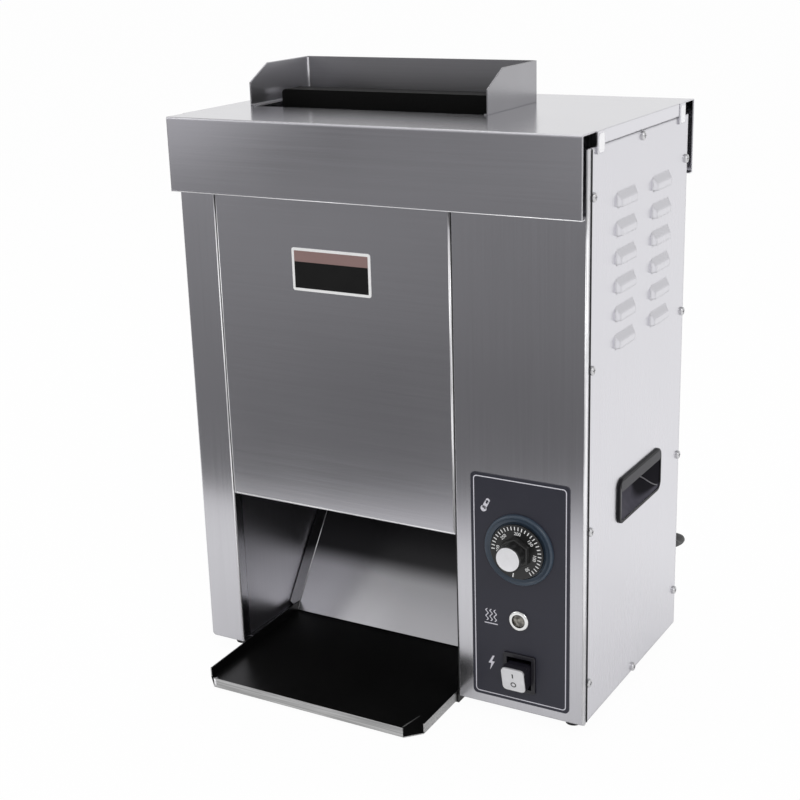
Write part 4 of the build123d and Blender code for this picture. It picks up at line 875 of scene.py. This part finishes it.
# ---- control label
# Reverse-printed polycarbonate overlay, stuck to the control column round the dial, lamp and
# switch: dark slate with a light border line and pictograms.
slate_dark, slate_light = (0.0198, 0.0200, 0.0320, 1.0), (0.0238, 0.0242, 0.0375, 1.0)
slate = material("label_slate", moulded(slate_dark, slate_light, 0.36, 0.06),
                 Specular_IOR_Level=0.4)
ink = plastic("label_ink", 0.64, 0.72, 0.4, 0.03, 0.08)
dress(slate, "control_label")
label_low, label_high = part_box("control_label")
label_middle = middle_of("control_label")
ink_proud, ink_sunk = 0.00012, 0.00005
print_depth = (label_low.y - ink_proud, label_low.y + ink_sunk)
print_thickness = ink_proud + ink_sunk
border_inset, border_line, border_corner = 0.0026, 0.0009, 0.0035
border = bmesh.new()
add_plate(border, (label_middle.x, label_middle.z),
          label_high.x - label_low.x - 2 * border_inset,
          label_high.z - label_low.z - 2 * border_inset, border_corner, print_depth)
face = min(border.faces, key=lambda f: f.calc_center_median().y)
ring = bmesh.ops.inset_region(border, faces=[face], thickness=border_line,
                              use_even_offset=True)["faces"]
bmesh.ops.delete(border, geom=[f for f in border.faces if f not in ring], context="FACES")
piece("label_border", border, ink, "casing")
upright = Matrix.Rotation(math.pi / 2, 4, "X")


def thermometer(shape, x, z):
    """A tilted thermometer with a round bulb and a round-topped stem. Returns its dark bore."""
    lean = placed((x, sum(print_depth) / 2, z), math.radians(28), "Y")
    bulb_z, top_z, bulb_radius, stem_radius = -0.0046, 0.0042, 0.0029, 0.0020
    for up, radius in ((bulb_z, bulb_radius), (top_z, stem_radius)):
        end = lean @ Matrix.Translation((0, 0, up)) @ upright
        add_round(shape, end, print_thickness, 24, radius)
    back = print_thickness / 2
    add_slab(shape, (-stem_radius, -back, bulb_z), (stem_radius, back, top_z), lean)
    bore = bmesh.new()
    add_slab(bore, (-0.0008, -back - 0.00006, 0.0010), (0.0008, back, 0.0044), lean)
    return bore


def heat_waves(shape, x, z):
    """Three rising waves over a base line."""
    wave_height, wave_width, wave_gap, swing = 0.0115, 0.0011, 0.0040, 0.0011
    for column in (-1, 0, 1):
        strip = bmesh.ops.create_grid(shape, x_segments=1, y_segments=20, size=0.5)["verts"]
        for vert in strip:
            across, along = vert.co.x, vert.co.y
            shift = swing * math.sin(along * 4.2 * math.pi)
            vert.co = (x + column * wave_gap + shift + across * wave_width, print_depth[0],
                       z + along * wave_height)
    base_half, base_low, base_high = 0.0064, z - 0.0085, z - 0.0076
    add_slab(shape, (x - base_half, print_depth[0], base_low),
             (x + base_half, print_depth[1], base_high))


def lightning(shape, x, z):
    """A zigzag bolt with a pointed foot."""
    outline = [(0.0012, 0.0072), (-0.0030, -0.0006), (-0.0004, -0.0006), (-0.0016, -0.0074),
               (0.0030, 0.0014), (0.0004, 0.0014), (0.0030, 0.0072)]
    shape.faces.new([shape.verts.new((x + dx, print_depth[0], z + dz)) for dx, dz in outline])


dial_x = middle_of("thermostat_dial").x
pictogram_x = dial_x - 0.0275
pictograms = bmesh.new()
bore = thermometer(pictograms, dial_x - 0.0315, 0.2050)
heat_waves(pictograms, pictogram_x, 0.101)
lightning(pictograms, pictogram_x, 0.0545)
piece("label_pictograms", pictograms, ink, "casing")
piece("thermometer_bore", bore, slate, "casing")


# ---- thermostat
# A satin scale ring round a black moulded dial with a printed scale. The dial's finger grip
# stands on a six-sided plinth, and a bright disc is pressed into its end.
ring_dark, ring_light = (0.034, 0.052, 0.078, 1.0), (0.040, 0.060, 0.088, 1.0)
ring_blue = material("scale_ring", moulded(ring_dark, ring_light, 0.26, 0.05))
dial_black = plastic("dial_black", 0.008, 0.014, 0.24, 0.05)
disc_silver = material("disc_silver", turned(0.90, 0.02, 0.30), Metallic=0.55)
scale_ink = plastic("scale_ink", 0.84, 0.92, 0.4, 0.03)
dress(dial_black, "thermostat_dial")
dial_z = middle_of("thermostat_bezel").z


def turned_ring(name, profile, axis_x, axis_z, finish, body):
    """Spins a profile of (radius, y) points round an axis along Y."""
    shape = bmesh.new()
    verts = [shape.verts.new((axis_x + radius, y, axis_z)) for radius, y in profile]
    edges = [shape.edges.new(pair) for pair in zip(verts, verts[1:])]
    bmesh.ops.spin(shape, geom=verts + edges, cent=(axis_x, 0, axis_z), axis=(0, 1, 0),
                   angle=2 * math.pi, steps=96, use_merge=True)
    bmesh.ops.remove_doubles(shape, verts=shape.verts, dist=1e-6)
    bmesh.ops.recalc_face_normals(shape, faces=shape.faces)
    made = piece(name, shape, finish, body, smooth=True)
    made.data.set_sharp_from_angle(angle=math.radians(50))
    return made


bezel_low, bezel_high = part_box("thermostat_bezel")
ring_front, ring_back = bezel_low.y, bezel_high.y
ring_bore, ring_outer = 0.0230, (bezel_high.x - bezel_low.x) / 2
ring_well, ring_step = ring_front + 0.0022, ring_front + 0.0011
ring_profile = [
    (ring_bore, ring_back), (ring_bore, ring_well), (0.0258, ring_well), (0.0264, ring_step),
    (ring_outer - 0.0034, ring_step), (ring_outer - 0.0026, ring_front + 0.0003),
    (ring_outer - 0.0019, ring_front), (ring_outer - 0.0011, ring_front + 0.0002),
    (ring_outer - 0.0004, ring_front + 0.0009), (ring_outer, ring_back), (ring_bore, ring_back),
]
scale_ring = turned_ring("scale_ring", ring_profile, dial_x, dial_z, ring_blue, "casing")
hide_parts("thermostat_bezel")
dial_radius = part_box("thermostat_dial")[1].x - dial_x
dial_gap, dial_flange = 0.0004, 0.0024
dial_front = ring_front - dial_gap - dial_flange
scale_depth = (dial_front - ink_proud, dial_front + ink_sunk)
tick_count, tick_end = 28, dial_radius - 0.0014
first_tick, tick_step, off_turn = 143.0, -233.0 / (tick_count - 1), 188.0
marks = [(first_tick + tick_step * tick, 0.0004, 0.0033) for tick in range(tick_count)]
marks.append((off_turn, 0.0005, 0.0038))
scale = bmesh.new()
for turn, half, length in marks:
    add_slab(scale, (-half, scale_depth[0], tick_end - length), (half, scale_depth[1], tick_end),
             placed((dial_x, 0, dial_z), math.radians(turn), "Y"))
piece("dial_scale", scale, scale_ink, "dial_body")


def bake_text(name, words, height, place, turn=0.0):
    """Flat numbers of the dial, facing the front and centred at a point."""
    line = bpy.data.curves.new(name, "FONT")
    line.body = words
    line.size = height
    line.align_x = line.align_y = "CENTER"
    line.extrude = ink_sunk
    line.offset = height * 0.01
    source = added(name + "_source", line)
    bpy.context.view_layer.update()
    shown = source.evaluated_get(bpy.context.evaluated_depsgraph_get())
    flat = bpy.data.meshes.new_from_object(shown)
    bpy.data.objects.remove(source)
    flat.transform(placed(place, turn, "Y") @ upright)
    flat.materials.append(scale_ink)
    made = added(name, flat)
    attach(made, "dial_body")


number_height, number_reach, number_proud = 0.0042, dial_radius - 0.0078, 0.00008
numbers = {"50": 143, "100": 97, "150": 50, "200": 4, "250": -44, "300": -88}
for words, degrees in numbers.items():
    turn = math.radians(degrees)
    bake_text("dial_" + words, words, number_height,
              (dial_x + number_reach * math.sin(turn), dial_front - number_proud,
               dial_z + number_reach * math.cos(turn)), turn)
plinth = bmesh.new()
plinth_height, plinth_radius, plinth_top = 0.0050, 0.0152, 0.0136
plinth_middle = (dial_x, dial_front - plinth_height / 2, dial_z)
add_round(plinth, Matrix.Translation(plinth_middle) @ upright, plinth_height, 6,
          plinth_radius, plinth_top)
soften(piece("dial_plinth", plinth, dial_black, "dial_body"), 0.0008, 2)
disc_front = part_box("thermostat_cap")[0].y
disc_radius, disc_thickness = 0.0108, 0.0020
disc = bmesh.new()
disc_middle = (dial_x, disc_front + disc_thickness / 2, dial_z)
add_round(disc, Matrix.Translation(disc_middle) @ upright, disc_thickness, 72, disc_radius)
dial_disc = piece("dial_disc", disc, disc_silver, "dial_body")
soften(dial_disc, 0.0005, 3)
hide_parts("thermostat_cap")
rim_bore, rim_lip, rim_outer = 0.0107, 0.0113, 0.0118
rim_front, rim_back = disc_front + 0.0003, disc_front + 0.0026
disc_rim_profile = [(rim_bore, rim_back), (rim_bore, rim_front), (rim_lip, rim_front),
                    (rim_outer, disc_front + 0.0009), (rim_outer, rim_back), (rim_bore, rim_back)]
turned_ring("disc_rim", disc_rim_profile, dial_x, dial_z, dial_black, "dial_body")


# ---- signal lamp
# Neon lamp behind a domed smoked lens of moulded plastic. Its polished ring snaps into the
# control column from the front.
chrome = metal("lamp_ring", turned(0.82, 0.0, 0.10))
lens_dark, lens_light = (0.060, 0.054, 0.046, 1.0), (0.30, 0.285, 0.25, 1.0)


def smoked(tone, place):
    """Brown-grey plastic with the blurred facets of a lens moulded on its inside."""
    facets = noise(tone, place, 260.0, 1.0)
    return {
        "Base Color": facets.between(0.3, 0.7).blend(lens_dark, lens_light),
        "Roughness": 0.10 + 0.1 * facets,
        "Normal": bump(tone, facets, 0.3, 0.0006),
    }


lens_smoked = material("lens_smoked", smoked, Coat_Weight=0.6)
dress(chrome, "lamp_housing")
lens_low, lens_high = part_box("lamp_lens")
lens_middle = middle_of("lamp_lens")
lens_radius = lens_high.x - lens_middle.x
dome_steps = 10
crown = min(0.0030, (lens_high.y - lens_low.y) * 0.6)
dome = [(lens_radius, lens_high.y), (lens_radius, lens_low.y + crown)]
for step in range(1, dome_steps + 1):
    angle = step / dome_steps * math.pi / 2
    dome.append((lens_radius * math.cos(angle), lens_low.y + crown * (1 - math.sin(angle))))
lens = turned_ring("lens_dome", dome, lens_middle.x, lens_middle.z, lens_smoked,
                   "casing")
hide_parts("lamp_lens")


# ---- power switch
# Black snap-in rocker switch whose raised rocker carries a bright plate marked I and O, under
# a low moulded brow.
switch_black = plastic("switch_black", 0.006, 0.010, 0.32, 0.12, 0.5)
mark_ink = plastic("mark_ink", 0.03, 0.05, 0.5, 0.03)
plate_silver = material("plate_silver", turned(0.76, 0.02, 0.32), Metallic=0.6)
dress(switch_black, "switch_housing", "switch_rocker")
rocker_tip = math.radians(12)
outward = Vector((0.0, -math.cos(rocker_tip), -math.sin(rocker_tip)))
face_low, face_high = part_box("rocker_face")
face_middle = middle_of("rocker_face")
face_level = max(vert.co.dot(outward) for vert in nodes["rocker_face"].data.vertices)
on_face = face_middle + outward * (face_level - face_middle.dot(outward) + 0.00005)
upward = Vector((0.0, -math.sin(rocker_tip), math.cos(rocker_tip)))


def up_face(rise):
    """The place that lies a distance up the rocker's tipped face."""
    return placed(on_face + upward * rise, rocker_tip, "X")


plate_place = up_face(0.0019)
plate_tall, plate_corner, plate_thickness = 0.0234, 0.0040, 0.0022
bright_plate = bmesh.new()
add_plate(bright_plate, (0.0, 0.0), face_high.x - face_low.x, plate_tall, plate_corner,
          (0.0, plate_thickness))
bright_plate.transform(plate_place)
rocker_plate = piece("rocker_plate", bright_plate, plate_silver, "rocker_body")
soften(rocker_plate, 0.0004, 2)
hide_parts("rocker_face")
brow = bmesh.new()
add_slab(brow, (-0.0105, 0.0020, 0.0060), (0.0105, 0.0085, 0.0110), plate_place)
soften(piece("rocker_brow", brow, switch_black, "rocker_body"), 0.0008, 2)
mark_depth, stroke_half, stroke_rise = 0.00008, 0.0006, 0.0022
stroke = bmesh.new()
add_slab(stroke, (-stroke_half, -mark_depth, -stroke_rise),
         (stroke_half, mark_depth, stroke_rise), up_face(0.0066))
piece("rocker_mark_on", stroke, mark_ink, "rocker_body")
loop_inner, loop_outer = 0.0017, 0.0027
loop_profile = [(loop_inner, -mark_depth), (loop_outer, -mark_depth), (loop_outer, mark_depth),
                (loop_inner, mark_depth), (loop_inner, -mark_depth)]
loop = turned_ring("rocker_mark_off", loop_profile, 0.0, 0.0, mark_ink, "rocker_body")
loop.data.transform(up_face(-0.0028))


# ---- bare plate
# Self-adhesive plate on the front panel: a white margin round a dull upper band and a black
# lower field, left without print.
plate_paint = plastic("plate_white", 0.86, 0.92, 0.4, 0.02)
plate_black = plastic("plate_black", 0.003, 0.006, 0.4, 0.02, Specular_IOR_Level=0.25)
band_dark, band_light = (0.25, 0.155, 0.145, 1.0), (0.28, 0.175, 0.165, 1.0)
plate_band = material("plate_band", moulded(band_dark, band_light, 0.4, 0.02))
plate_x, plate_z = -0.0408, 0.396
plate_width, plate_height, plate_rounding = 0.0805, 0.0385, 0.0022
plate_proud, field_proud, field_sunk = 0.0004, 0.00052, 0.0003
margin = 0.0025
plate = bmesh.new()
add_plate(plate, (plate_x, plate_z), plate_width, plate_height, plate_rounding,
          (panel_low.y - plate_proud, panel_low.y))
piece("bare_plate", plate, plate_paint, "casing")
half_width, half_height = plate_width / 2 - margin, plate_height / 2 - margin
division_z = plate_z + plate_height * 0.18
for name, foot_z, head_z, finish in (
        ("bare_plate_field", plate_z - half_height, division_z, plate_black),
        ("bare_plate_band", division_z, plate_z + half_height, plate_band)):
    field = bmesh.new()
    add_slab(field, (plate_x - half_width, panel_low.y - field_proud, foot_z),
             (plate_x + half_width, panel_low.y - field_sunk, head_z))
    piece(name, field, finish, "casing")
